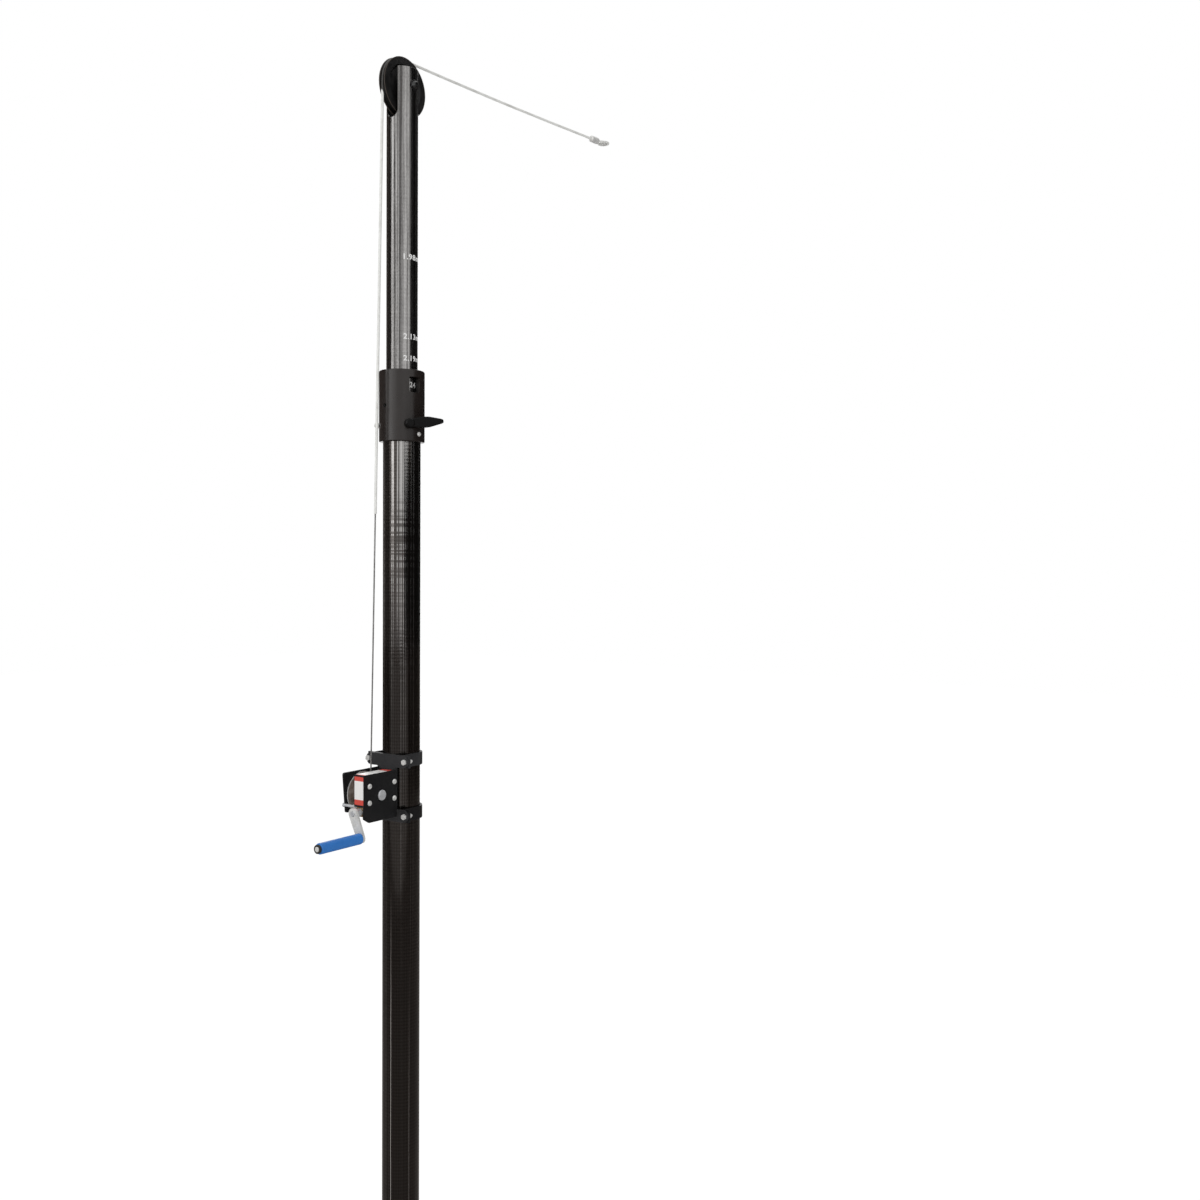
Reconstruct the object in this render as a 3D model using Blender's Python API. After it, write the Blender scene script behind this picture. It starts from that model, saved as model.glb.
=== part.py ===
"""Indoor volleyball net post: a telescoping carbon tube post that stands in a floor sleeve, with a sheave in
its head, a worm gear winch clamped to it and the cable that runs between them. Metres, +Z up. The origin is
the middle of the foot's underside, +X points to the net, -X to the winch, and left is +Y."""

import math

import bmesh
import bpy
from mathutils import Matrix, Vector

# Fits: the clearance between neighbouring pieces, and round a bolt in its hole
GAP = 0.0003
BOLT_CLEAR = 0.0003

# Heights above the floor line, and the length that stands in the sleeve
SLEEVE_DEPTH = 0.250
LOWER_RISE = 1.660
AXLE_RISE = 2.2845
DRUM_RISE = 0.868

# Tubes
UPPER_OD = 0.0635
UPPER_WALL = 0.003
UPPER_LENGTH = 1.002
LOWER_WALL = 0.003
RING_WALL = 0.00275
RING_HEIGHT = 0.040
FOOT_THICK = 0.006
FOOT_PLUG = 0.034
FOOT_CHAMFER = 0.002

# Head
AXLE_BELOW_TOP = 0.034
SLOT_WIDTH = 0.027
SLOT_BELOW_AXLE = 0.066
SHEAVE_OD = 0.120
SHEAVE_WIDTH = 0.015
GROOVE_DEPTH = 0.0066
GROOVE_WIDTH = 0.0095
GROOVE_FLOOR = 0.0057
GROOVE_STEP = 0.0019
FLANGE_LIP = 0.0010
WEB_THICK = 0.007
RIM_DEPTH = 0.015
HUB_OD = 0.034
BUSH_OD = 0.020
AXLE_OD = 0.010
SPACER_OD = 0.018
WASHER_OD = 0.021
WASHER_THICK = 0.0016
AXLE_HEAD_OD = 0.017
AXLE_HEAD_HEIGHT = 0.0055
AXLE_SOCKET = 0.006
AXLE_SOCKET_DEPTH = 0.0025
AXLE_NUT_FLATS = 0.016
AXLE_NUT_HEIGHT = 0.009
AXLE_PROUD = 0.003

# Collar
COLLAR_WALL = 0.0076
COLLAR_BELOW_TOP = 0.088
COLLAR_LIP = 0.0055
COLLAR_LIP_CLEAR = 0.0009
COLLAR_CHAMFER = 0.003
GUIDE_WALL = 0.0040
GUIDE_HEIGHT = 0.050
WINDOW_AZIMUTH = math.radians(257)
WINDOW_ABOVE_TOP = 0.0255
WINDOW_WIDTH = 0.024
WINDOW_HEIGHT = 0.031
WINDOW_CORNER = 0.004
GRUB_AZIMUTH = math.radians(175)
GRUB_BELOW_TOP = 0.0165
GRUB_OD = 0.008
GRUB_LENGTH = 0.0055
GRUB_CHAMFER = 0.001
GRUB_SOCKET = 0.004
GRUB_SOCKET_DEPTH = 0.003
BUTTON_AZIMUTH = math.radians(270)
BUTTON_BELOW_TOP = 0.073
BUTTON_HEAD_OD = 0.0095
BUTTON_HEAD_HEIGHT = 0.0028
BUTTON_SHANK_OD = 0.005
BUTTON_SOCKET = 0.0032
BUTTON_SOCKET_DEPTH = 0.0018
DOME_AZIMUTH = math.radians(135)
DOME_BELOW_TOP = 0.0545
DOME_OD = 0.0118
DOME_HEIGHT = 0.009
DOME_SHANK_OD = 0.006

# Clamp lever
LEVER_AZIMUTH = math.radians(240)
LEVER_BELOW_TOP = 0.053
LEVER_RISE = math.radians(6)
LEVER_HUB_OD = 0.019
LEVER_HUB_LENGTH = 0.0135
LEVER_HUB_CHAMFER = 0.0025
LEVER_HUB_CAP = 0.0035
LEVER_REACH = 0.071
LEVER_SHOULDER = 0.030
LEVER_SHOULDER_WIDTH = 0.0225
LEVER_TIP_WIDTH = 0.010
LEVER_THICK = 0.0085
LEVER_THINNING = 0.30
LEVER_EDGE = 0.0018
STUD_OD = 0.010
SHOE_OD = 0.012
SHOE_THICK = 0.0052

# Winch mount
UPPER_BAR_ABOVE_DRUM = 0.060
LOWER_BAR_BELOW_DRUM = 0.050
BAR_THICK = 0.005
BAR_HEIGHT = 0.0254
BAR_HALF_LENGTH = 0.0565
WEB_WIDTH = 0.050
STRAP_THICK = 0.0045
STRAP_BOLT_Y = 0.0492
STRAP_BOLT_OD = 0.006
STRAP_BOLT_LENGTH = 0.021
HEX_FLATS = 0.010
HEX_HEIGHT = 0.0045
NUT_HEIGHT = 0.0055

# Winch frame and gear case
BASE_THICK = 0.005
WALL_THICK = 0.004
LEFT_WALL_Y = 0.021
INNER_WALL_Y = -0.012
CASE_Y = -0.034
COVER_THICK = 0.003
COVER_SKIN = 0.0025
FRONT_REACH = 0.050
FRAME_ABOVE = 0.045
FRAME_BELOW = 0.035
FRAME_TAPER = 0.007
FRAME_CORNER = 0.004
COVER_BELOW = 0.050
COVER_CHAMFER = 0.015
COVER_CHAMFER_RISE = 0.009
COVER_CORNER = 0.003
COVER_FRONT_BELOW = 0.018
COVER_TOP_LENGTH = 0.082
COVER_SCREW_SPREAD = 0.0347
COVER_SCREW_SPACING = 0.033
COVER_SCREW_RISE = 0.0055
COVER_SCREW_OD = 0.006
COVER_SCREW_HEAD_OD = 0.011
COVER_SCREW_HEAD_HEIGHT = 0.003
COVER_SCREW_SOCKET = 0.0036
WINCH_BOLT_SPACING = 0.057
WINCH_BOLT_Y = 0.0065
WINCH_BOLT_OD = 0.008
WINCH_BOLT_HEAD_OD = 0.013
WINCH_BOLT_HEAD_HEIGHT = 0.0045
WINCH_BOLT_CHAMFER = 0.0015
ROD_FROM_FRONT = 0.0065
ROD_BELOW = 0.0195
ROD_OD = 0.006
ROD_HEAD_OD = 0.0084
ROD_HEAD_HEIGHT = 0.0022

# Drum
DRUM_CLEAR = 0.0013
DRUM_SIDE_CLEAR = 0.001
DRUM_FLANGE_OD = 0.084
DRUM_FLANGE_THICK = 0.002
DRUM_CORE_OD = 0.029
SHAFT_OD = 0.021
SHAFT_PROUD = 0.0025
SHAFT_CHAMFER = 0.001
CLIP_WALL = 0.004
CLIP_THICK = 0.002

# Worm gear
TEETH = 24
WHEEL_PITCH_R = 0.0206
WORM_PITCH_R = 0.0074
WHEEL_WIDTH = 0.014
ADDENDUM = 0.0013
DEDENDUM = 0.0017
BACKLASH = 0.00035
FLANK = math.radians(20)
WORM_TURNS = 4.5
THREAD_SINK = 0.0006
WORM_SHAFT_OD = 0.010
BEARING_LENGTH = 0.010
BEARING_HEIGHT = 0.018
REAR_BEARING_BACK = 0.026

# Crank
HUB_SPACER_OD = 0.016
HUB_SPACER_LENGTH = 0.0125
ARM_THICK = 0.005
ARM_WIDTH = 0.022
ARM_END_WIDTH = 0.019
ARM_LENGTH = 0.050
ARM_TURN = math.radians(24)
SHAFT_RIVET = 0.0015
GRIP_LENGTH = 0.107
GRIP_OD = 0.0215
GRIP_EDGE = 0.0022
GRIP_PIN_OD = 0.010
GRIP_PIN_CHAMFER = 0.001
GRIP_PIN_HEAD_OD = 0.013
GRIP_PIN_HEAD = 0.0022
GRIP_CAP_OD = 0.017
GRIP_CAP_THICK = 0.004

# Cable: bare steel from the drum up, and coated from this height above the floor line on
BARE_OD = 0.0032
COAT_OD = 0.0055
COAT_RISE = 1.425
DRUM_LEAD_Y = 0.013
WINDING_PITCH = 0.00375
WINDING_LOOPS = 4.25
TAIL_YAW = math.radians(-5)
TAIL_REACH = 0.590
# How far the tail sags below a level line, at parts of its length
TAIL_SAG = ((0.08, 0.0004), (0.25, 0.0016), (0.50, 0.0024), (0.72, 0.0018), (0.90, 0.0006), (1.0, 0.0))
FERRULE_OD = 0.015
FERRULE_LENGTH = 0.026
FERRULE_NOSE = 0.003
FERRULE_CHAMFER = 0.001
EYE_RADIUS = 0.012
EYE_LENGTH = 0.034
EYE_SWING = math.radians(110)
EYE_STEPS = 14
THIMBLE_WALL = 0.003
THIMBLE_WIDTH = 0.007

# Facets round a tube, a sheave, a shaft and a bolt, and points along the cable's turns
SIDES = 36
SHEAVE_SIDES = 44
SHAFT_SIDES = 24
BOLT_SIDES = 12
THREAD_STEPS = 12
LOOP_POINTS = 24
ARC_STEPS = 14

# Derived sizes
UPPER_R = UPPER_OD / 2
LOWER_INNER_R = UPPER_R + GAP + RING_WALL + GAP
LOWER_R = LOWER_INNER_R + LOWER_WALL
LOWER_TOP = SLEEVE_DEPTH + LOWER_RISE
AXLE_Z = SLEEVE_DEPTH + AXLE_RISE
UPPER_TOP = AXLE_Z + AXLE_BELOW_TOP
UPPER_FOOT = UPPER_TOP - UPPER_LENGTH
COLLAR_BORE_R = LOWER_R + GAP
COLLAR_R = COLLAR_BORE_R + COLLAR_WALL
COLLAR_FOOT = LOWER_TOP - COLLAR_BELOW_TOP
GUIDE_R = UPPER_R + GAP + GUIDE_WALL
GUIDE_TOP = LOWER_TOP + GAP + GUIDE_HEIGHT
COLLAR_TOP = GUIDE_TOP + GAP + COLLAR_LIP
DRUM_Z = SLEEVE_DEPTH + DRUM_RISE
UPPER_BAR_Z = DRUM_Z + UPPER_BAR_ABOVE_DRUM
LOWER_BAR_Z = DRUM_Z - LOWER_BAR_BELOW_DRUM
PLATE_BACK_X = -LOWER_R - GAP
PLATE_FRONT_X = PLATE_BACK_X - BAR_THICK
BASE_BACK_X = PLATE_FRONT_X - GAP
BASE_FRONT_X = BASE_BACK_X - BASE_THICK
DRUM_X = BASE_FRONT_X - DRUM_CLEAR - DRUM_FLANGE_OD / 2
CASE_FRONT_X = DRUM_X - FRONT_REACH
CASE_TOP = DRUM_Z + FRAME_ABOVE
FRAME_BOTTOM = DRUM_Z - FRAME_BELOW
FRAME_LEFT_Y = LEFT_WALL_Y + WALL_THICK
INNER_FACE_Y = INNER_WALL_Y + WALL_THICK
COVER_INNER_Y = CASE_Y + COVER_THICK
WORM_Y = (COVER_INNER_Y + INNER_WALL_Y) / 2
WORM_Z = DRUM_Z - WHEEL_PITCH_R - WORM_PITCH_R
PITCH = 2 * math.pi * WHEEL_PITCH_R / TEETH
LEAD_SLOPE = PITCH / (2 * math.pi * WORM_PITCH_R)
FRONT_BEARING_X = CASE_FRONT_X + COVER_SKIN + GAP
REAR_BEARING_X = DRUM_X + REAR_BEARING_BACK
ARM_BACK_X = CASE_FRONT_X - HUB_SPACER_LENGTH - GAP
ARM_FRONT_X = ARM_BACK_X - ARM_THICK
GRIP_Y = WORM_Y - ARM_LENGTH * math.sin(ARM_TURN)
GRIP_Z = WORM_Z - ARM_LENGTH * math.cos(ARM_TURN)
GROOVE_R = SHEAVE_OD / 2 - GROOVE_DEPTH
SHEAVE_CABLE_R = (GROOVE_R + GAP + COAT_OD / 2) / math.cos(math.pi / 4 / ARC_STEPS)
DRUM_CABLE_R = (DRUM_CORE_OD / 2 + GAP + BARE_OD / 2) / math.cos(math.pi / LOOP_POINTS)
COAT_END_Z = SLEEVE_DEPTH + COAT_RISE

# The turns that point an object's own Z axis along a world axis
TO_X = (0, math.pi / 2, 0)
TO_Y = (-math.pi / 2, 0, 0)
TO_Z = (0, 0, 0)


# Materials
def finish(name, color, roughness, metallic=0.0):
    material = bpy.data.materials.new(name)
    material.use_nodes = True
    shader = material.node_tree.nodes["Principled BSDF"]
    shader.inputs["Base Color"].default_value = (*color, 1)
    shader.inputs["Roughness"].default_value = roughness
    shader.inputs["Metallic"].default_value = metallic
    material.diffuse_color = (*color, 1)
    return material


def make_finishes():
    return {
        "carbon": finish("carbon", (0.020, 0.018, 0.017), 0.18),
        "collar": finish("collar_black", (0.045, 0.043, 0.042), 0.45),
        "nylon": finish("black_nylon", (0.012, 0.012, 0.013), 0.40),
        "powder": finish("black_powder_coat", (0.018, 0.018, 0.019), 0.50, 0.3),
        "clamp": finish("clamp_grey", (0.065, 0.065, 0.067), 0.45, 0.3),
        "zinc": finish("zinc_plate", (0.62, 0.62, 0.60), 0.35, 1.0),
        "steel": finish("bright_steel", (0.45, 0.46, 0.48), 0.35, 1.0),
        "black_bolt": finish("black_bolt", (0.02, 0.02, 0.02), 0.35, 0.8),
        "bronze": finish("bronze", (0.45, 0.30, 0.14), 0.40, 1.0),
        "grip": finish("blue_grip", (0.02, 0.14, 0.48), 0.50),
        "rubber": finish("black_rubber", (0.02, 0.02, 0.02), 0.80),
        "cable": finish("steel_cable", (0.40, 0.40, 0.41), 0.45, 0.9),
        "coat": finish("white_cable_coat", (0.80, 0.80, 0.78), 0.40),
    }


# Shape helpers
def add_object(name, data, material, at=(0, 0, 0), turn=TO_Z):
    obj = bpy.data.objects.new(name, data)
    bpy.context.scene.collection.objects.link(obj)
    obj.location = at
    obj.rotation_euler = turn
    data.materials.append(material)
    return obj


def finished_mesh(name, bm, smooth_angle=35):
    """The bmesh as a mesh with outward faces, smooth apart from its sharp edges."""
    bmesh.ops.remove_doubles(bm, verts=bm.verts, dist=1e-6)
    bmesh.ops.dissolve_degenerate(bm, edges=bm.edges, dist=1e-7)
    bmesh.ops.recalc_face_normals(bm, faces=bm.faces)
    mesh = bpy.data.meshes.new(name)
    bm.to_mesh(mesh)
    bm.free()
    mesh.shade_smooth()
    mesh.set_sharp_from_angle(angle=math.radians(smooth_angle))
    return mesh


def turned(name, profile, material, at=(0, 0, 0), turn=TO_Z, sides=SIDES):
    """A profile of (radius, height) points, spun about the object's own Z axis."""
    bm = bmesh.new()
    points = [bm.verts.new((radius, 0, height)) for radius, height in profile]
    edges = [bm.edges.new(pair) for pair in zip(points, points[1:])]
    if profile[0][0] > 0 or profile[-1][0] > 0:
        edges.append(bm.edges.new((points[-1], points[0])))
    full = 2 * math.pi
    bmesh.ops.spin(
        bm, geom=points + edges, cent=(0, 0, 0), axis=(0, 0, 1), angle=full, steps=sides, use_merge=True
    )
    return add_object(name, finished_mesh(name, bm), material, at, turn)


def ring(inner_r, outer_r, low, high):
    """The profile of a plain sleeve."""
    return [(outer_r, high), (outer_r, low), (inner_r, low), (inner_r, high)]


def pin(radius, low, high):
    """The profile of a plain solid cylinder."""
    return [(0, low), (radius, low), (radius, high), (0, high)]


def extruded(spots, sweep):
    """A bmesh of the closed outline through these spots, swept along a vector."""
    bm = bmesh.new()
    face = bm.faces.new([bm.verts.new(spot) for spot in spots])
    made = bmesh.ops.extrude_face_region(bm, geom=[face])
    raised = [item for item in made["geom"] if isinstance(item, bmesh.types.BMVert)]
    bmesh.ops.translate(bm, verts=raised, vec=sweep)
    return bm


def slab(name, outline, low, high, material, at, turn):
    """An outline in the object's own XY plane, from low to high along its own Z axis."""
    bm = extruded([(a, b, low) for a, b in outline], (0, 0, high - low))
    return add_object(name, finished_mesh(name, bm), material, at, turn)


def plate(name, outline, plane, low, high, material, origin=(0, 0, 0)):
    """An outline in a world plane, from low to high along the third axis."""
    third = {"YZ": 0, "XZ": 1, "XY": 2}[plane]

    def spot(a, b, c):
        place = [a, b]
        place.insert(third, c)
        return Vector(place)

    start = Vector(origin)
    bm = extruded([spot(a, b, low) - start for a, b in outline], spot(0, 0, high - low))
    return add_object(name, finished_mesh(name, bm), material, origin)


def rectangle(low_a, high_a, low_b, high_b):
    return [(low_a, low_b), (high_a, low_b), (high_a, high_b), (low_a, high_b)]


def rounded(corners, radius, steps=3):
    """An outline whose corners are arcs. A corner is (a, b), or (a, b, radius) where it has its own."""
    outline = []
    count = len(corners)
    for index, corner in enumerate(corners):
        here = Vector(corner[:2])
        before = (Vector(corners[index - 1][:2]) - here).normalized()
        after = (Vector(corners[(index + 1) % count][:2]) - here).normalized()
        own = corner[2] if len(corner) > 2 else radius
        if own <= 0:
            outline.append(tuple(here))
            continue
        half = before.angle(after) / 2
        centre = here + (before + after).normalized() * own / math.sin(half)
        start = here + before * own / math.tan(half) - centre
        end = here + after * own / math.tan(half) - centre
        swing = start.angle_signed(end)
        for step in range(steps + 1):
            arm = start.copy()
            arm.rotate(Matrix.Rotation(-swing * step / steps, 2))
            outline.append(tuple(centre + arm))
    return outline


def arc_points(centre, radius, start, end, steps):
    """Points on an arc in a plane, from one angle to another."""
    angles = [start + (end - start) * step / steps for step in range(steps + 1)]
    return [(centre[0] + radius * math.cos(a), centre[1] + radius * math.sin(a)) for a in angles]


def hexagon(flats):
    radius = flats / 2 / math.cos(math.pi / 6)
    return arc_points((0, 0), radius, 0, math.pi * 5 / 3, 5)


def combine(obj, others, operation):
    for other in others:
        other.hide_render = True
        other.display_type = "WIRE"
        modifier = obj.modifiers.new(other.name, "BOOLEAN")
        modifier.operation = operation
        modifier.object = other
        modifier.solver = "EXACT"


def cut(obj, *cutters):
    combine(obj, cutters, "DIFFERENCE")


def join(obj, *others):
    combine(obj, others, "UNION")


def drill(name, diameter, low, high, at, turn, look, sides=BOLT_SIDES):
    """A round cutter along its own Z axis."""
    return turned(name, pin(diameter / 2, low, high), look["nylon"], at, turn, sides)


def outward(azimuth, roll=0.0):
    """The turn that points an object's own Z axis away from the post at this azimuth."""
    turn = Matrix.Rotation(azimuth, 3, "Z") @ Matrix.Rotation(math.pi / 2, 3, "Y")
    return (turn @ Matrix.Rotation(roll, 3, "Z")).to_euler()


def axis_empty(name, at):
    empty = bpy.data.objects.new(name, None)
    bpy.context.scene.collection.objects.link(empty)
    empty.empty_display_size = 0.02
    empty.location = at
    return empty


def ride_on(empty, *pieces):
    """Parents pieces to an unturned empty and leaves them where they are."""
    for piece in pieces:
        piece.location = Vector(piece.location) - empty.location
        piece.parent = empty


# Lower post
def make_lower_post(look):
    plug_r = LOWER_INNER_R - GAP
    plug_top = FOOT_THICK + FOOT_PLUG
    foot = [
        (0, plug_top),
        (plug_r - FOOT_CHAMFER, plug_top),
        (plug_r, plug_top - FOOT_CHAMFER),
        (plug_r, FOOT_THICK),
        (LOWER_R, FOOT_THICK),
        (LOWER_R, FOOT_CHAMFER),
        (LOWER_R - FOOT_CHAMFER, 0),
        (0, 0),
    ]
    turned("foot_cap", foot, look["rubber"])
    profile = ring(LOWER_INNER_R, LOWER_R, FOOT_THICK + GAP, LOWER_TOP)
    tube = turned("lower_tube", profile, look["carbon"])
    place = (0, 0, LOWER_TOP - LEVER_BELOW_TOP)
    hole_od = SHOE_OD + 2 * GAP
    cut(tube, drill("cut_shoe_hole", hole_od, UPPER_R, COLLAR_R, place, outward(LEVER_AZIMUTH), look))


# Collar
def collar_hole(name, diameter, drop, azimuth, look):
    """A hole through the collar's wall, this far below the lower tube's top."""
    place = (0, 0, LOWER_TOP - drop)
    low, high = COLLAR_BORE_R - COLLAR_CHAMFER, COLLAR_R + COLLAR_CHAMFER
    return drill(name, diameter + 2 * GAP, low, high, place, outward(azimuth), look)


def make_collar(look):
    lip_r = UPPER_R + COLLAR_LIP_CLEAR
    guide_bore_r = GUIDE_R + GAP
    profile = [
        (lip_r, COLLAR_TOP),
        (COLLAR_R - COLLAR_CHAMFER, COLLAR_TOP),
        (COLLAR_R - COLLAR_CHAMFER * 0.3, COLLAR_TOP - COLLAR_CHAMFER * 0.3),
        (COLLAR_R, COLLAR_TOP - COLLAR_CHAMFER),
        (COLLAR_R, COLLAR_FOOT + COLLAR_CHAMFER / 2),
        (COLLAR_R - COLLAR_CHAMFER / 2, COLLAR_FOOT),
        (COLLAR_BORE_R, COLLAR_FOOT),
        (COLLAR_BORE_R, LOWER_TOP + GAP),
        (guide_bore_r, LOWER_TOP + GAP),
        (guide_bore_r, GUIDE_TOP + GAP),
        (lip_r, GUIDE_TOP + GAP),
    ]
    collar = turned("collar", profile, look["collar"])
    guide = turned("guide_bush", ring(UPPER_R + GAP, GUIDE_R, LOWER_TOP + GAP, GUIDE_TOP), look["nylon"])
    half_h, half_w = WINDOW_HEIGHT / 2, WINDOW_WIDTH / 2
    opening = rounded(rectangle(-half_h, half_h, -half_w, half_w), WINDOW_CORNER)
    place = (0, 0, LOWER_TOP + WINDOW_ABOVE_TOP)
    inside, outside = UPPER_R - UPPER_WALL, COLLAR_R + COLLAR_CHAMFER
    window = slab("cut_window", opening, inside, outside, look["nylon"], place, outward(WINDOW_AZIMUTH))
    cut(guide, window)
    cut(
        collar,
        window,
        collar_hole("cut_stud_hole", STUD_OD, LEVER_BELOW_TOP, LEVER_AZIMUTH, look),
        collar_hole("cut_grub_hole", GRUB_OD, GRUB_BELOW_TOP, GRUB_AZIMUTH, look),
        collar_hole("cut_button_hole", BUTTON_SHANK_OD, BUTTON_BELOW_TOP, BUTTON_AZIMUTH, look),
        collar_hole("cut_dome_hole", DOME_SHANK_OD, DOME_BELOW_TOP, DOME_AZIMUTH, look),
    )


def make_collar_screws(look):
    start = COLLAR_BORE_R + GAP
    seat = COLLAR_R + GAP
    grub_r = GRUB_OD / 2
    grub_end = start + GRUB_LENGTH
    grub = [
        (0, start),
        (grub_r - GRUB_CHAMFER, start),
        (grub_r, start + GRUB_CHAMFER),
        (grub_r, grub_end),
        (GRUB_SOCKET / 2, grub_end),
        (GRUB_SOCKET / 2, grub_end - GRUB_SOCKET_DEPTH),
        (0, grub_end - GRUB_SOCKET_DEPTH),
    ]
    place = (0, 0, LOWER_TOP - GRUB_BELOW_TOP)
    turned("collar_grub_screw", grub, look["zinc"], place, outward(GRUB_AZIMUTH), BOLT_SIDES)
    head_r = BUTTON_HEAD_OD / 2
    head_end = seat + BUTTON_HEAD_HEIGHT
    button = [
        (0, start),
        (BUTTON_SHANK_OD / 2, start),
        (BUTTON_SHANK_OD / 2, seat),
        (head_r, seat),
        (head_r * 0.92, seat + BUTTON_HEAD_HEIGHT * 0.45),
        (head_r * 0.62, head_end),
        (BUTTON_SOCKET / 2, head_end),
        (BUTTON_SOCKET / 2, head_end - BUTTON_SOCKET_DEPTH),
        (0, head_end - BUTTON_SOCKET_DEPTH),
    ]
    place = (0, 0, LOWER_TOP - BUTTON_BELOW_TOP)
    turned("collar_button_screw", button, look["zinc"], place, outward(BUTTON_AZIMUTH), BOLT_SIDES)
    dome_r = DOME_OD / 2
    dome_end = seat + DOME_HEIGHT
    dome = [(0, start), (DOME_SHANK_OD / 2, start), (DOME_SHANK_OD / 2, seat), (dome_r, seat)]
    dome += arc_points((0, dome_end - dome_r), dome_r, 0, math.pi / 3, 3)
    dome.append((0, dome_end))
    place = (0, 0, LOWER_TOP - DOME_BELOW_TOP)
    turned("collar_dome_screw", dome, look["zinc"], place, outward(DOME_AZIMUTH), BOLT_SIDES)


def lever_outline():
    """The lever's arm from the hub out: its length along +Y and its width along X."""
    root = LEVER_HUB_OD / 2
    shoulder = LEVER_SHOULDER_WIDTH / 2
    tip = LEVER_TIP_WIDTH / 2
    slope = LEVER_REACH - LEVER_SHOULDER
    side = [
        (root * 0.97, 0),
        (root * 0.95, root * 0.9),
        (shoulder * 0.94, LEVER_SHOULDER * 0.72),
        (shoulder, LEVER_SHOULDER),
        (shoulder * 0.94, LEVER_SHOULDER + slope * 0.28),
        (tip + (shoulder - tip) * 0.35, LEVER_SHOULDER + slope * 0.66),
        (tip, LEVER_REACH - tip * 0.9),
        (tip * 0.72, LEVER_REACH - tip * 0.2),
        (tip * 0.3, LEVER_REACH),
    ]
    return side + [(-x, y) for x, y in reversed(side)]


def make_lever(look):
    """The lever, the stud it turns on and the shoe that the stud presses against the mast."""
    place = (0, 0, LOWER_TOP - LEVER_BELOW_TOP)
    turn = outward(LEVER_AZIMUTH, LEVER_RISE)
    back = COLLAR_R + GAP
    front = back + LEVER_HUB_LENGTH
    hub_r = LEVER_HUB_OD / 2
    hub = [
        (0, back),
        (hub_r, back),
        (hub_r, front - LEVER_HUB_CHAMFER),
        (hub_r - LEVER_HUB_CHAMFER, front),
        (0, front),
    ]
    lever = turned("clamp_lever", hub, look["nylon"], place, turn, SHAFT_SIDES)
    middle = (back + front) / 2
    low, high = middle - LEVER_THICK / 2, middle + LEVER_THICK / 2
    arm = slab("join_lever_arm", lever_outline(), low, high, look["nylon"], place, turn)
    for vert in arm.data.vertices:
        vert.co.z = middle + (vert.co.z - middle) * (1 - LEVER_THINNING * vert.co.y / LEVER_REACH)
    bevel = arm.modifiers.new("soft_edges", "BEVEL")
    bevel.width = LEVER_EDGE
    bevel.segments = 2
    bevel.limit_method = "ANGLE"
    bevel.angle_limit = math.radians(50)
    join(lever, arm)
    bore_end = front - LEVER_HUB_CAP
    hole_od = STUD_OD + 2 * GAP
    bore = drill("cut_lever_bore", hole_od, back - LEVER_EDGE, bore_end, place, turn, look, SHAFT_SIDES)
    cut(lever, bore)
    square = outward(LEVER_AZIMUTH)
    shoe_end = UPPER_R + GAP + SHOE_THICK
    turned("clamp_shoe", pin(SHOE_OD / 2, UPPER_R + GAP, shoe_end), look["bronze"], place, square, BOLT_SIDES)
    stud_profile = pin(STUD_OD / 2, shoe_end + GAP, bore_end - GAP)
    stud = turned("clamp_stud", stud_profile, look["steel"], place, square, BOLT_SIDES)
    ride_on(axis_empty("lever_axis", place), lever, arm, bore, stud)


# Mast
def make_mast(look):
    profile = ring(UPPER_R - UPPER_WALL, UPPER_R, UPPER_FOOT, UPPER_TOP)
    tube = turned("upper_tube", profile, look["carbon"])
    half = SLOT_WIDTH / 2
    past = UPPER_R + UPPER_WALL
    top = UPPER_TOP + UPPER_WALL
    bottom = arc_points((0, AXLE_Z - SLOT_BELOW_AXLE + half), half, math.pi, 2 * math.pi, 8)
    slot = plate("cut_slot", [(-half, top), *bottom, (half, top)], "YZ", -past, past, look["nylon"])
    axle = (0, 0, AXLE_Z)
    cut(tube, slot, drill("cut_axle_hole", AXLE_OD + 2 * BOLT_CLEAR, -past, past, axle, TO_Y, look))
    ring_r = UPPER_R + GAP + RING_WALL
    slide_profile = ring(UPPER_R + GAP, ring_r, UPPER_FOOT, UPPER_FOOT + RING_HEIGHT)
    slide = turned("slide_ring", slide_profile, look["nylon"])
    ride_on(axis_empty("mast_axis", axle), tube, slide)


def sheave_profile():
    """The sheave's groove, rim, web and hub on one side, then the same mirrored."""
    rim = SHEAVE_OD / 2
    half = SHEAVE_WIDTH / 2
    web = WEB_THICK / 2
    side = [
        (GROOVE_R, GROOVE_FLOOR / 2),
        (GROOVE_R + GROOVE_STEP, GROOVE_WIDTH / 2),
        (rim, half - FLANGE_LIP),
        (rim, half),
        (rim - RIM_DEPTH, half),
        (rim - RIM_DEPTH - (half - web), web),
        (HUB_OD / 2, web),
        (HUB_OD / 2, half),
        (BUSH_OD / 2 + GAP, half),
    ]
    return side + [(radius, -height) for radius, height in reversed(side)]


def make_sheave(look):
    axle = (0, 0, AXLE_Z)
    half = SHEAVE_WIDTH / 2
    sheave = turned("sheave", sheave_profile(), look["nylon"], axle, TO_Y, SHEAVE_SIDES)
    profile = ring(AXLE_OD / 2 + GAP, BUSH_OD / 2, -half, half)
    bush = turned("sheave_bush", profile, look["bronze"], axle, TO_Y, SHAFT_SIDES)
    ride_on(axis_empty("sheave_axis", axle), sheave, bush)


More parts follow.
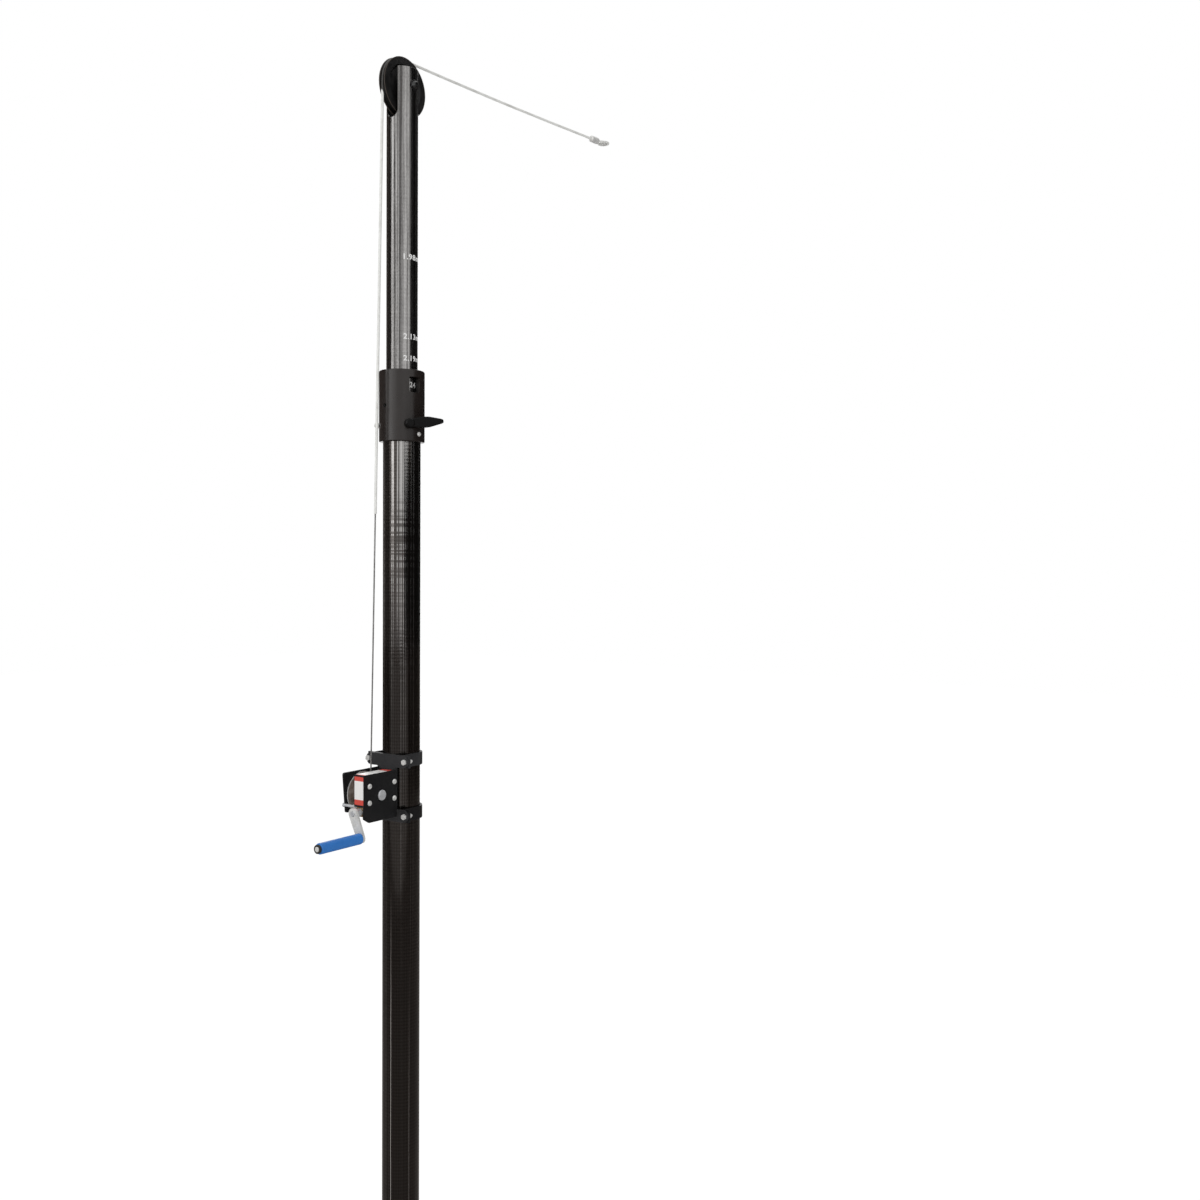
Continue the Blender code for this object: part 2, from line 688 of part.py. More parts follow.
def make_axle(look):
    axle = (0, 0, AXLE_Z)
    washer_in = UPPER_R + GAP
    washer_out = washer_in + WASHER_THICK
    seat = washer_out + GAP
    nut_end = seat + AXLE_NUT_HEIGHT
    head_r = AXLE_HEAD_OD / 2
    head_end = -seat - AXLE_HEAD_HEIGHT
    bolt = [
        (0, head_end + AXLE_SOCKET_DEPTH),
        (AXLE_SOCKET / 2, head_end + AXLE_SOCKET_DEPTH),
        (AXLE_SOCKET / 2, head_end),
        (head_r * 0.62, head_end),
        (head_r * 0.92, head_end + AXLE_HEAD_HEIGHT / 2),
        (head_r, -seat),
        (AXLE_OD / 2, -seat),
        (AXLE_OD / 2, nut_end + AXLE_PROUD),
        (0, nut_end + AXLE_PROUD),
    ]
    pieces = [turned("axle_bolt", bolt, look["black_bolt"], axle, TO_Y, BOLT_SIDES)]
    nut = slab("axle_nut", hexagon(AXLE_NUT_FLATS), seat, nut_end, look["black_bolt"], axle, TO_Y)
    low, high = seat - WASHER_THICK, nut_end + WASHER_THICK
    bore = drill("cut_axle_nut", AXLE_OD + 2 * GAP, low, high, axle, TO_Y, look)
    cut(nut, bore)
    pieces += [nut, bore]
    spacer_r = SPACER_OD / 2
    spacer_in = SHEAVE_WIDTH / 2 + GAP
    spacer_out = math.sqrt((UPPER_R - UPPER_WALL) ** 2 - spacer_r**2) - GAP
    bore_r = AXLE_OD / 2 + GAP
    for side, sign in (("right", -1), ("left", 1)):
        spacer = ring(bore_r, spacer_r, *sorted((sign * spacer_in, sign * spacer_out)))
        washer = ring(bore_r, WASHER_OD / 2, *sorted((sign * washer_in, sign * washer_out)))
        pieces.append(turned(f"axle_spacer_{side}", spacer, look["zinc"], axle, TO_Y, BOLT_SIDES))
        pieces.append(turned(f"axle_washer_{side}", washer, look["black_bolt"], axle, TO_Y, BOLT_SIDES))
    ride_on(bpy.data.objects["mast_axis"], *pieces)


# Winch mount
def bar_outline(z):
    """A bar with round ends, seen from the winch."""
    half = BAR_HEIGHT / 2
    right = arc_points((-BAR_HALF_LENGTH + half, z), half, math.pi / 2, math.pi * 3 / 2, 8)
    return right + [(-y, 2 * z - height) for y, height in right]


def strap_outline():
    """The rear strap from above: round the tube, then out to two ears that face the mount plate."""
    inner = LOWER_R + GAP
    outer = inner + STRAP_THICK
    face = PLATE_BACK_X + GAP
    back = face + STRAP_THICK
    quarter = math.pi / 2
    right_ear = [(back, -outer), (back, -BAR_HALF_LENGTH), (face, -BAR_HALF_LENGTH), (face, -inner)]
    left_ear = [(x, -y) for x, y in reversed(right_ear)]
    outside = arc_points((0, 0), outer, quarter, -quarter, SIDES // 2)
    inside = arc_points((0, 0), inner, -quarter, quarter, SIDES // 2)
    return outside + right_ear + inside + left_ear


def winch_bolt_heights():
    return (("upper", DRUM_Z + WINCH_BOLT_SPACING / 2), ("lower", DRUM_Z - WINCH_BOLT_SPACING / 2))


def make_winch_mount(look):
    low, high = PLATE_FRONT_X, PLATE_BACK_X
    past = BAR_THICK
    mount = plate("winch_mount_plate", bar_outline(UPPER_BAR_Z), "YZ", low, high, look["clamp"])
    web = rectangle(-WEB_WIDTH / 2, WEB_WIDTH / 2, LOWER_BAR_Z, UPPER_BAR_Z)
    join(mount, plate("join_mount_web", web, "YZ", low, high, look["clamp"]))
    join(mount, plate("join_lower_bar", bar_outline(LOWER_BAR_Z), "YZ", low, high, look["clamp"]))
    for level, z in (("upper", UPPER_BAR_Z), ("lower", LOWER_BAR_Z)):
        strap_low, strap_high = z - BAR_HEIGHT / 2, z + BAR_HEIGHT / 2
        strap = plate(f"{level}_strap", strap_outline(), "XY", strap_low, strap_high, look["clamp"])
        for side, y in (("right", -STRAP_BOLT_Y), ("left", STRAP_BOLT_Y)):
            label = f"{level}_{side}"
            place = (0, y, z)
            hole_od = STRAP_BOLT_OD + 2 * BOLT_CLEAR
            end = PLATE_BACK_X + GAP + STRAP_THICK + past
            hole = drill(f"cut_strap_{label}", hole_od, low - past, end, place, TO_X, look)
            cut(mount, hole)
            cut(strap, hole)
            make_strap_bolt(label, place, look)
    for level, z in winch_bolt_heights():
        place = (0, WINCH_BOLT_Y, z)
        hole_od = WINCH_BOLT_OD + 2 * BOLT_CLEAR
        cut(mount, drill(f"cut_mount_{level}", hole_od, low - past, high + past, place, TO_X, look))
        turned(f"winch_bolt_{level}", winch_bolt_profile(), look["zinc"], place, TO_X, BOLT_SIDES)


def winch_bolt_profile():
    head_r = WINCH_BOLT_HEAD_OD / 2
    seat = BASE_FRONT_X - GAP
    head_end = seat - WINCH_BOLT_HEAD_HEIGHT
    return [
        (0, head_end),
        (head_r - WINCH_BOLT_CHAMFER, head_end),
        (head_r, head_end + WINCH_BOLT_CHAMFER),
        (head_r, seat),
        (WINCH_BOLT_OD / 2, seat),
        (WINCH_BOLT_OD / 2, PLATE_BACK_X),
        (0, PLATE_BACK_X),
    ]


def make_strap_bolt(label, place, look):
    seat = PLATE_FRONT_X - GAP
    zinc = look["zinc"]
    bolt = slab(f"strap_bolt_{label}", hexagon(HEX_FLATS), seat - HEX_HEIGHT, seat, zinc, place, TO_X)
    shank = pin(STRAP_BOLT_OD / 2, seat - HEX_HEIGHT / 2, seat + STRAP_BOLT_LENGTH)
    join(bolt, turned(f"join_shank_{label}", shank, zinc, place, TO_X, BOLT_SIDES))
    nut_low = PLATE_BACK_X + GAP + STRAP_THICK + GAP
    nut_high = nut_low + NUT_HEIGHT
    nut = slab(f"strap_nut_{label}", hexagon(HEX_FLATS), nut_low, nut_high, zinc, place, TO_X)
    hole_od = STRAP_BOLT_OD + 2 * GAP
    low, high = nut_low - STRAP_THICK, nut_high + STRAP_THICK
    cut(nut, drill(f"cut_nut_{label}", hole_od, low, high, place, TO_X, look))


# Winch frame and gear case
def wall_outline(front, top):
    """A side wall of the winch frame, square at the base and rounded in front."""
    corners = [
        (BASE_BACK_X, FRAME_BOTTOM, 0),
        (BASE_BACK_X, top, 0),
        (front, top),
        (front + FRAME_TAPER, FRAME_BOTTOM),
    ]
    return rounded(corners, FRAME_CORNER)


def make_winch_frame(look):
    powder = look["powder"]
    skin_front = CASE_FRONT_X + COVER_SKIN + GAP
    skin_top = CASE_TOP - COVER_SKIN - GAP
    left = wall_outline(CASE_FRONT_X, CASE_TOP)
    frame = plate("winch_frame", left, "XZ", LEFT_WALL_Y, FRAME_LEFT_Y, powder)
    base = rectangle(INNER_WALL_Y, FRAME_LEFT_Y, FRAME_BOTTOM, skin_top)
    inner = wall_outline(skin_front, skin_top)
    join(
        frame,
        plate("join_base", base, "YZ", BASE_FRONT_X, BASE_BACK_X, powder),
        plate("join_inner_wall", inner, "XZ", INNER_WALL_Y, INNER_FACE_Y, powder),
    )
    past = WALL_THICK
    low, high = CASE_Y - past, FRAME_LEFT_Y + past
    drum = (DRUM_X, 0, DRUM_Z)
    shaft_hole = drill("cut_shaft_hole", SHAFT_OD + 2 * GAP, low, high, drum, TO_Y, look, SHAFT_SIDES)
    rod_at = (CASE_FRONT_X + ROD_FROM_FRONT, 0, DRUM_Z - ROD_BELOW)
    cut(frame, shaft_hole, drill("cut_rod_hole", ROD_OD + 2 * GAP, low, high, rod_at, TO_Y, look))
    for level, z in winch_bolt_heights():
        place = (0, WINCH_BOLT_Y, z)
        hole_od = WINCH_BOLT_OD + 2 * BOLT_CLEAR
        low, high = BASE_FRONT_X - past, BASE_BACK_X + past
        cut(frame, drill(f"cut_base_{level}", hole_od, low, high, place, TO_X, look))
    head = FRAME_LEFT_Y + GAP
    rod = [
        (0, INNER_WALL_Y),
        (ROD_OD / 2, INNER_WALL_Y),
        (ROD_OD / 2, head),
        (ROD_HEAD_OD / 2, head),
        (ROD_HEAD_OD / 2, head + ROD_HEAD_HEIGHT),
        (0, head + ROD_HEAD_HEIGHT),
    ]
    turned("tie_rod", rod, look["zinc"], rod_at, TO_Y, BOLT_SIDES)
    make_gear_cover(frame, shaft_hole, look)


def make_gear_cover(frame, shaft_hole, look):
    """The cover is a block with a screwed face, hollowed so that a front and a top flange are left."""
    powder = look["powder"]
    bottom = DRUM_Z - COVER_BELOW
    rear = BASE_FRONT_X - GAP
    side = [
        (rear, bottom),
        (rear, CASE_TOP),
        (CASE_FRONT_X, CASE_TOP),
        (CASE_FRONT_X, bottom + COVER_CHAMFER_RISE),
        (CASE_FRONT_X + COVER_CHAMFER, bottom),
    ]
    cover = plate("gear_cover", rounded(side, COVER_CORNER), "XZ", CASE_Y, INNER_FACE_Y, powder)
    cut(cover, shaft_hole)
    for label, x, z in cover_screw_places():
        hole_od = COVER_SCREW_OD + 2 * GAP
        low, high = CASE_Y - COVER_THICK, INNER_FACE_Y + COVER_THICK
        hole = drill(f"cut_screw_{label}", hole_od, low, high, (x, 0, z), TO_Y, look)
        cut(cover, hole)
        cut(frame, hole)
        turned(f"cover_screw_{label}", cover_screw_profile(), look["zinc"], (x, 0, z), TO_Y, BOLT_SIDES)
    past = COVER_CHAMFER
    front_in, front_out = CASE_FRONT_X + COVER_SKIN, CASE_FRONT_X - past
    top_in, top_out = CASE_TOP - COVER_SKIN, CASE_TOP + past
    top_end = CASE_FRONT_X + COVER_TOP_LENGTH
    front_end = DRUM_Z - COVER_FRONT_BELOW
    inside = [
        (front_in, top_in),
        (top_end, top_in),
        (top_end, top_out),
        (rear + past, top_out),
        (rear + past, bottom - past),
        (front_out, bottom - past),
        (front_out, front_end),
        (front_in, front_end),
    ]
    cut(cover, plate("cut_cover_inside", inside, "XZ", COVER_INNER_Y, INNER_FACE_Y + past, powder))


def cover_screw_places():
    middle = DRUM_Z + COVER_SCREW_RISE
    for end, forward in (("front", -1), ("rear", 1)):
        for level, up in (("upper", 0.5), ("lower", -0.5)):
            yield f"{end}_{level}", DRUM_X + forward * COVER_SCREW_SPREAD, middle + up * COVER_SCREW_SPACING


def cover_screw_profile():
    seat = CASE_Y - GAP
    head_r = COVER_SCREW_HEAD_OD / 2
    head_end = seat - COVER_SCREW_HEAD_HEIGHT
    socket_floor = head_end + COVER_SCREW_HEAD_HEIGHT / 2
    return [
        (0, socket_floor),
        (COVER_SCREW_SOCKET / 2, socket_floor),
        (COVER_SCREW_SOCKET / 2, head_end),
        (head_r * 0.7, head_end),
        (head_r, seat - COVER_SCREW_HEAD_HEIGHT * 0.4),
        (head_r, seat),
        (COVER_SCREW_OD / 2, seat),
        (COVER_SCREW_OD / 2, INNER_FACE_Y),
        (0, INNER_FACE_Y),
    ]


# Drum and gears
def make_drum(look):
    at = (DRUM_X, 0, DRUM_Z)
    bore = SHAFT_OD / 2 + GAP
    right, left = INNER_FACE_Y + DRUM_SIDE_CLEAR, LEFT_WALL_Y - DRUM_SIDE_CLEAR
    flange_r = DRUM_FLANGE_OD / 2
    core_r = DRUM_CORE_OD / 2
    profile = [
        (bore, left),
        (bore, right),
        (flange_r, right),
        (flange_r, right + DRUM_FLANGE_THICK),
        (core_r, right + DRUM_FLANGE_THICK),
        (core_r, left - DRUM_FLANGE_THICK),
        (flange_r, left - DRUM_FLANGE_THICK),
        (flange_r, left),
    ]
    drum = turned("drum", profile, look["steel"], at, TO_Y)
    clip_in = FRAME_LEFT_Y + GAP
    clip_out = clip_in + CLIP_THICK
    right_end = CASE_Y - SHAFT_PROUD
    left_end = clip_out + SHAFT_PROUD
    shaft_r = SHAFT_OD / 2
    shaft_profile = [
        (0, right_end),
        (shaft_r - SHAFT_CHAMFER, right_end),
        (shaft_r, right_end + SHAFT_CHAMFER),
        (shaft_r, left_end - SHAFT_CHAMFER),
        (shaft_r - SHAFT_CHAMFER, left_end),
        (0, left_end),
    ]
    shaft = turned("drum_shaft", shaft_profile, look["steel"], at, TO_Y, SHAFT_SIDES)
    clip_profile = ring(bore, bore + CLIP_WALL, clip_in, clip_out)
    clip = turned("shaft_clip", clip_profile, look["zinc"], at, TO_Y, SHAFT_SIDES)
    ride_on(axis_empty("drum_axis", at), drum, shaft, clip, *make_worm_wheel(at, look))


def tooth_half(height):
    """Half of a tooth's thickness, this far outside the pitch line."""
    return (PITCH / 2 - BACKLASH) / 2 - height * math.tan(FLANK)


def bridge(bm, layers):
    """Walls between layers of points, and a face at each end."""
    count = len(layers[0])
    for low, high in zip(layers, layers[1:]):
        for i in range(count):
            j = (i + 1) % count
            bm.faces.new((low[i], low[j], high[j], high[i]))
    bm.faces.new(layers[0])
    bm.faces.new(layers[-1][::-1])


def make_worm_wheel(at, look):
    """Straight-flanked teeth, slanted to follow the worm's thread. One points straight down at rest."""
    tip_half, root_half = tooth_half(ADDENDUM), tooth_half(-DEDENDUM)
    tip_r, root_r = WHEEL_PITCH_R + ADDENDUM, WHEEL_PITCH_R - DEDENDUM
    tooth = [(root_r, -root_half), (tip_r, -tip_half), (tip_r, tip_half), (root_r, root_half)]
    bm = bmesh.new()
    layers = []
    for y in (-WHEEL_WIDTH / 2, 0, WHEEL_WIDTH / 2):
        layer = []
        for index in range(TEETH):
            for radius, along in tooth:
                turn = 2 * math.pi * index / TEETH + (along + y * LEAD_SLOPE) / WHEEL_PITCH_R
                layer.append(bm.verts.new((-radius * math.sin(turn), WORM_Y + y, -radius * math.cos(turn))))
        layers.append(layer)
    bridge(bm, layers)
    wheel = add_object("worm_wheel", finished_mesh("worm_wheel", bm, 20), look["bronze"], at)
    low, high = WORM_Y - WHEEL_WIDTH, WORM_Y + WHEEL_WIDTH
    bore = drill("cut_wheel_bore", SHAFT_OD + 2 * GAP, low, high, at, TO_Y, look, SHAFT_SIDES)
    cut(wheel, bore)
    return wheel, bore


def make_worm(look):
    """The thread is right-handed, and a space in it takes the wheel's lowest tooth at rest."""
    at = (0, WORM_Y, WORM_Z)
    tip_r, root_r = WORM_PITCH_R + ADDENDUM, WORM_PITCH_R - DEDENDUM
    tip_half, sunk_half = tooth_half(ADDENDUM), tooth_half(-DEDENDUM - THREAD_SINK)
    sunk_r = root_r - THREAD_SINK
    section = [(sunk_r, -sunk_half), (tip_r, -tip_half), (tip_r, tip_half), (sunk_r, sunk_half)]
    bm = bmesh.new()
    layers = []
    for step in range(round(WORM_TURNS * THREAD_STEPS) + 1):
        turns = step / THREAD_STEPS - WORM_TURNS / 2
        turn = 2 * math.pi * turns
        middle = DRUM_X + PITCH * (turns + 0.5)
        spots = [(middle + along, -radius * math.sin(turn), radius * math.cos(turn)) for radius, along in section]
        layers.append([bm.verts.new(spot) for spot in spots])
    bridge(bm, layers)
    thread = add_object("join_thread", finished_mesh("join_thread", bm), look["steel"], at)
    shaft_r = WORM_SHAFT_OD / 2
    front, rear = ARM_FRONT_X - SHAFT_RIVET, REAR_BEARING_X + BEARING_LENGTH
    front_shoulder, rear_shoulder = FRONT_BEARING_X + BEARING_LENGTH + GAP, REAR_BEARING_X - GAP
    profile = [
        (0, front),
        (shaft_r, front),
        (shaft_r, front_shoulder),
        (root_r, front_shoulder),
        (root_r, rear_shoulder),
        (shaft_r, rear_shoulder),
        (shaft_r, rear),
        (0, rear),
    ]
    worm = turned("worm", profile, look["steel"], at, TO_X, BOLT_SIDES)
    join(worm, thread)
    make_worm_bearing("front", FRONT_BEARING_X, look)
    make_worm_bearing("rear", REAR_BEARING_X, look)
    return worm, thread


def make_worm_bearing(end, low, look):
    high = low + BEARING_LENGTH
    half = BEARING_HEIGHT / 2
    outline = rectangle(COVER_INNER_Y + GAP, INNER_WALL_Y - GAP, WORM_Z - half, WORM_Z + half)
    block = plate(f"worm_bearing_{end}", outline, "YZ", low, high, look["bronze"])
    place = (0, WORM_Y, WORM_Z)
    past = BEARING_LENGTH / 2
    hole_od = WORM_SHAFT_OD + 2 * GAP
    cut(block, drill(f"cut_bearing_{end}", hole_od, low - past, high + past, place, TO_X, look))


# Crank
def arm_outline():
    """The flat arm in the YZ plane, round at its shaft end and at its grip end."""
    down = -math.pi / 2 - ARM_TURN
    quarter = math.pi / 2
    shaft_end = arc_points((WORM_Y, WORM_Z), ARM_WIDTH / 2, down + quarter, down + 3 * quarter, 8)
    grip_end = arc_points((GRIP_Y, GRIP_Z), ARM_END_WIDTH / 2, down - quarter, down + quarter, 8)
    return shaft_end + grip_end


def make_crank(look):
    shaft_at = (0, WORM_Y, WORM_Z)
    grip_at = (0, GRIP_Y, GRIP_Z)
    spacer = ring(WORM_SHAFT_OD / 2 + GAP, HUB_SPACER_OD / 2, ARM_BACK_X + GAP, CASE_FRONT_X + COVER_SKIN)
    hub = turned("crank_hub_spacer", spacer, look["steel"], shaft_at, TO_X, SHAFT_SIDES)
    arm = plate("crank_arm", arm_outline(), "YZ", ARM_FRONT_X, ARM_BACK_X, look["zinc"])
    low, high = ARM_FRONT_X - ARM_THICK, ARM_BACK_X + ARM_THICK
    shaft_hole = drill("cut_arm_shaft", WORM_SHAFT_OD + 2 * GAP, low, high, shaft_at, TO_X, look)
    pin_hole = drill("cut_arm_pin", GRIP_PIN_OD + 2 * GAP, low, high, grip_at, TO_X, look)
    cut(arm, shaft_hole, pin_hole)
    grip_start = ARM_FRONT_X - GAP
    grip_end = grip_start - GRIP_LENGTH
    cap_end = grip_end - GAP - GRIP_CAP_THICK
    pin_r = GRIP_PIN_OD / 2
    pin_end = cap_end - SHAFT_RIVET
    head = ARM_BACK_X + GAP
    grip_pin = [
        (0, pin_end),
        (pin_r - GRIP_PIN_CHAMFER, pin_end),
        (pin_r, pin_end + GRIP_PIN_CHAMFER),
        (pin_r, head),
        (GRIP_PIN_HEAD_OD / 2, head),
        (GRIP_PIN_HEAD_OD / 2, head + GRIP_PIN_HEAD),
        (0, head + GRIP_PIN_HEAD),
    ]
    pin_piece = turned("grip_pin", grip_pin, look["zinc"], grip_at, TO_X, BOLT_SIDES)
    cap_profile = ring(pin_r + GAP, GRIP_CAP_OD / 2, cap_end, grip_end - GAP)
    cap = turned("grip_end_cap", cap_profile, look["rubber"], grip_at, TO_X, SHAFT_SIDES)
    grip_r = GRIP_OD / 2
    grip_profile = [
        (pin_r + GAP, grip_end),
        (grip_r - GRIP_EDGE, grip_end),
        (grip_r - GRIP_EDGE * 0.3, grip_end + GRIP_EDGE * 0.3),
        (grip_r, grip_end + GRIP_EDGE),
        (grip_r, grip_start - GRIP_EDGE),
        (grip_r - GRIP_EDGE * 0.3, grip_start - GRIP_EDGE * 0.3),
        (grip_r - GRIP_EDGE, grip_start),
        (pin_r + GAP, grip_start),
    ]
    grip = turned("grip", grip_profile, look["grip"], grip_at, TO_X, SHAFT_SIDES)
    crank_axis = axis_empty("crank_axis", shaft_at)
    ride_on(crank_axis, *make_worm(look), hub, arm, shaft_hole, pin_hole, pin_piece, cap)
    ride_on(axis_empty("grip_axis", grip_at), grip)


# Cable
def tube(name, points, diameter, material, resolution=2):
    curve = bpy.data.curves.new(name, "CURVE")
    curve.dimensions = "3D"
    curve.bevel_depth = diameter / 2
    curve.bevel_resolution = resolution
    curve.use_fill_caps = True
    spline = curve.splines.new("POLY")
    spline.points.add(len(points) - 1)
    for item, spot in zip(spline.points, points):
        item.co = (*spot, 1)
    spline.use_smooth = True
    return add_object(name, curve, material)


def smooth_route(route, step):
    """Points about this far apart on a smooth curve through the route's own points."""
    path = []
    ends = [route[0] * 2 - route[1], *route, route[-1] * 2 - route[-2]]
    for a, b, c, d in zip(ends, ends[1:], ends[2:], ends[3:]):
        count = max(1, round((c - b).length / step))
        for i in range(count):
            t = i / count
            bend = (2 * a - 5 * b + 4 * c - d) * t**2 + (3 * b - a - 3 * c + d) * t**3
            path.append((2 * b + (c - a) * t + bend) / 2)
    return [*path, route[-1]]


def winding_points():
    """The drum's outer layer: it leaves the drum straight up on the side of the post."""
    steps = round(WINDING_LOOPS * LOOP_POINTS)
    centre = Vector((DRUM_X, DRUM_LEAD_Y, DRUM_Z))
    points = []
    for step in range(steps + 1):
        loops = (step - steps) / LOOP_POINTS
        turn = 2 * math.pi * loops
        spot = (DRUM_CABLE_R * math.cos(turn), WINDING_PITCH * loops, DRUM_CABLE_R * math.sin(turn))
        points.append(centre + Vector(spot))
    along = (points[0] - points[1]).normalized()
    return [points[0] + along * BARE_OD, *points, points[-1] + Vector((0, 0, BARE_OD))]


def least_self_gap(points, diameter):
    """The least clear distance between stretches of a tube that are a third of a loop or more apart."""
    apart = LOOP_POINTS // 3
    places = range(len(points))
    return min((points[i] - points[j]).length for i in places for j in places[i + apart :]) - diameter


def run_point(z):
    """Where the straight run from the drum to the sheave is at this height."""
    start = Vector((DRUM_X + DRUM_CABLE_R, DRUM_LEAD_Y, DRUM_Z))
    end = Vector((-SHEAVE_CABLE_R, 0, AXLE_Z))
    return start.lerp(end, (z - start.z) / (end.z - start.z))


def run_points(low, high, steps=8):
    return [run_point(low + (high - low) * step / steps) for step in range(steps + 1)]


def tail_points():
    """The arc over the sheave from the winch side, and the tail that goes on from its end to the net."""
    circle = arc_points((0, AXLE_Z), SHEAVE_CABLE_R, math.pi, math.pi / 2, ARC_STEPS)
    arc = [run_point(AXLE_Z - COAT_OD), *[Vector((x, 0, z)) for x, z in circle]]
    way = Vector((math.cos(TAIL_YAW), math.sin(TAIL_YAW), 0))
    start = arc[-1] + way * (COAT_OD + GAP)
    route = [start]
    for part, sag in TAIL_SAG:
        route.append(start + way * TAIL_REACH * part - Vector((0, 0, sag)))
    tail = smooth_route(route, 5 * COAT_OD)
    arc.append(start - (tail[1] - tail[0]).normalized() * GAP)
    return arc, tail


def make_cable(look):
    winding = winding_points()
    print(f"cable winding: least gap to itself {least_self_gap(winding, BARE_OD) * 1000:.2f} mm")
    layer = tube("cable_winding", winding, BARE_OD, look["cable"], 1)
    ride_on(bpy.data.objects["drum_axis"], layer)
    tube("cable_run_bare", run_points(DRUM_Z + BARE_OD + GAP, COAT_END_Z), BARE_OD, look["cable"])
    coated = tube("cable_run_coated", run_points(COAT_END_Z + GAP, AXLE_Z - COAT_OD - GAP), COAT_OD, look["coat"])
    arc, tail = tail_points()
    over = tube("cable_over_sheave", arc, COAT_OD, look["coat"])
    free = tube("cable_tail", tail, COAT_OD, look["coat"])
    pieces = make_cable_end(tail[-1], (tail[-1] - tail[-2]).normalized(), look)
    ride_on(bpy.data.objects["mast_axis"], coated, over, free, *pieces)


def make_cable_end(end, way, look):
    """The ferrule, eye and thimble, made along +X from the tail's end and turned to follow it."""
    heading = way.to_track_quat("X", "Z").to_euler()
    high = GAP + FERRULE_LENGTH
    ferrule_r = FERRULE_OD / 2
    profile = [
        (0, GAP),
        (ferrule_r * 0.6, GAP),
        (ferrule_r, GAP + FERRULE_NOSE),
        (ferrule_r, high - FERRULE_CHAMFER),
        (ferrule_r - FERRULE_CHAMFER, high),
        (0, high),
    ]
    ferrule_turn = way.to_track_quat("Z", "Y").to_euler()
    ferrule = turned("cable_ferrule", profile, look["zinc"], end, ferrule_turn, SHAFT_SIDES)
    side = ferrule_r - FERRULE_CHAMFER - COAT_OD / 2
    start = high + GAP
    centre = start + EYE_LENGTH - EYE_RADIUS
    bend = arc_points((centre, 0), EYE_RADIUS, -EYE_SWING, EYE_SWING, EYE_STEPS)
    legs = [(start, -side), (start + COAT_OD, -side), *bend, (start + COAT_OD, side), (start, side)]
    eye = tube("cable_eye", [(x, y, 0) for x, y in legs], COAT_OD, look["coat"])
    eye.location = end
    eye.rotation_euler = heading
    outer = EYE_RADIUS * math.cos(EYE_SWING / EYE_STEPS) - COAT_OD / 2 - GAP
    half = THIMBLE_WIDTH / 2
    profile = ring(outer - THIMBLE_WALL, outer, -half, half)
    thimble = turned("thimble", profile, look["zinc"], end + way * centre, heading, SHAFT_SIDES)
    return ferrule, eye, thimble


def main():
    for obj in list(bpy.data.objects):
        bpy.data.objects.remove(obj)
    look = make_finishes()
    make_lower_post(look)
    make_collar(look)
    make_collar_screws(look)
    make_lever(look)
    make_mast(look)
    make_sheave(look)
    make_axle(look)
    make_winch_mount(look)
    make_winch_frame(look)
    make_drum(look)
    make_crank(look)
    make_cable(look)


main()
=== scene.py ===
"""The looks of the volleyball post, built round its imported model. Metres, in the model's own frame:
+Z is up, -X points to the winch, and the origin is the middle of the foot's underside."""

import math

import bmesh
import bpy
from mathutils import Matrix, Vector


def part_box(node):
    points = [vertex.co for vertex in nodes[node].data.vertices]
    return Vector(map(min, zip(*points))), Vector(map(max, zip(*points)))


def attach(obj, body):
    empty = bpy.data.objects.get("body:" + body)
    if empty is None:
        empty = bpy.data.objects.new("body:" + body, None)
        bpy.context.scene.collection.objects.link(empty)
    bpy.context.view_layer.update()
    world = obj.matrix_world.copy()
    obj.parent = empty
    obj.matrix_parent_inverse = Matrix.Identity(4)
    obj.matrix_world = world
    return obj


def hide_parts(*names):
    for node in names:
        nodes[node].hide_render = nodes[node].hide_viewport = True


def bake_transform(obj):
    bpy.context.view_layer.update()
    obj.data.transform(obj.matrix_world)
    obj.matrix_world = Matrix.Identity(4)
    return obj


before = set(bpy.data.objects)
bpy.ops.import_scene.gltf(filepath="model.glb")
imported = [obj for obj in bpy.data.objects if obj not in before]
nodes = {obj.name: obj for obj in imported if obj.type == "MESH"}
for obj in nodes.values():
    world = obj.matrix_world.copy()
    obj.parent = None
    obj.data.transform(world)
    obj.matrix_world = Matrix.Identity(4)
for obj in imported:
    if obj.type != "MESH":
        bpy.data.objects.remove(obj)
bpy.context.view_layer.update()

# Places and sizes that the part's source gives. GAP is the room between neighbouring pieces of the cable, and
# TAIL_SAG is how far the tail hangs at these shares of its reach.
AXLE = Vector((0, 0, 2.5345))
DRUM = Vector((-0.092, 0.013, 1.118))
SHEAVE_CABLE_R = 0.05654
DRUM_CABLE_R = 0.01654
MAST_R = 0.03175
BARE_OD = 0.0032
COAT_OD = 0.0055
GAP = 0.0003
COAT_END_Z = 1.675
WINDING_PITCH = 0.00375
WINDING_LOOPS = 4.25
TAIL_YAW = math.radians(-5)
TAIL_REACH = 0.590
TAIL_SAG = ((0.08, 0.0004), (0.25, 0.0016), (0.50, 0.0024), (0.72, 0.0018), (0.90, 0.0006), (1.0, 0.0))
FERRULE_LENGTH = 0.026
EYE_SIDE = 0.00375
EYE_RADIUS = 0.012
EYE_LENGTH = 0.034
EYE_SWING = math.radians(110)

# The camera: its distance from the post, the side it looks from, its height, and how it is turned
CAMERA_DISTANCE = 2.59612
CAMERA_SIDE = math.radians(46.967)
CAMERA_HEIGHT = 1.587612
CAMERA_YAW = math.radians(8.995)
CAMERA_PITCH = math.radians(1.864)
CAMERA_ROLL = math.radians(0.393)
CAMERA_LENS = 37.627
CAMERA_SENSOR = 36

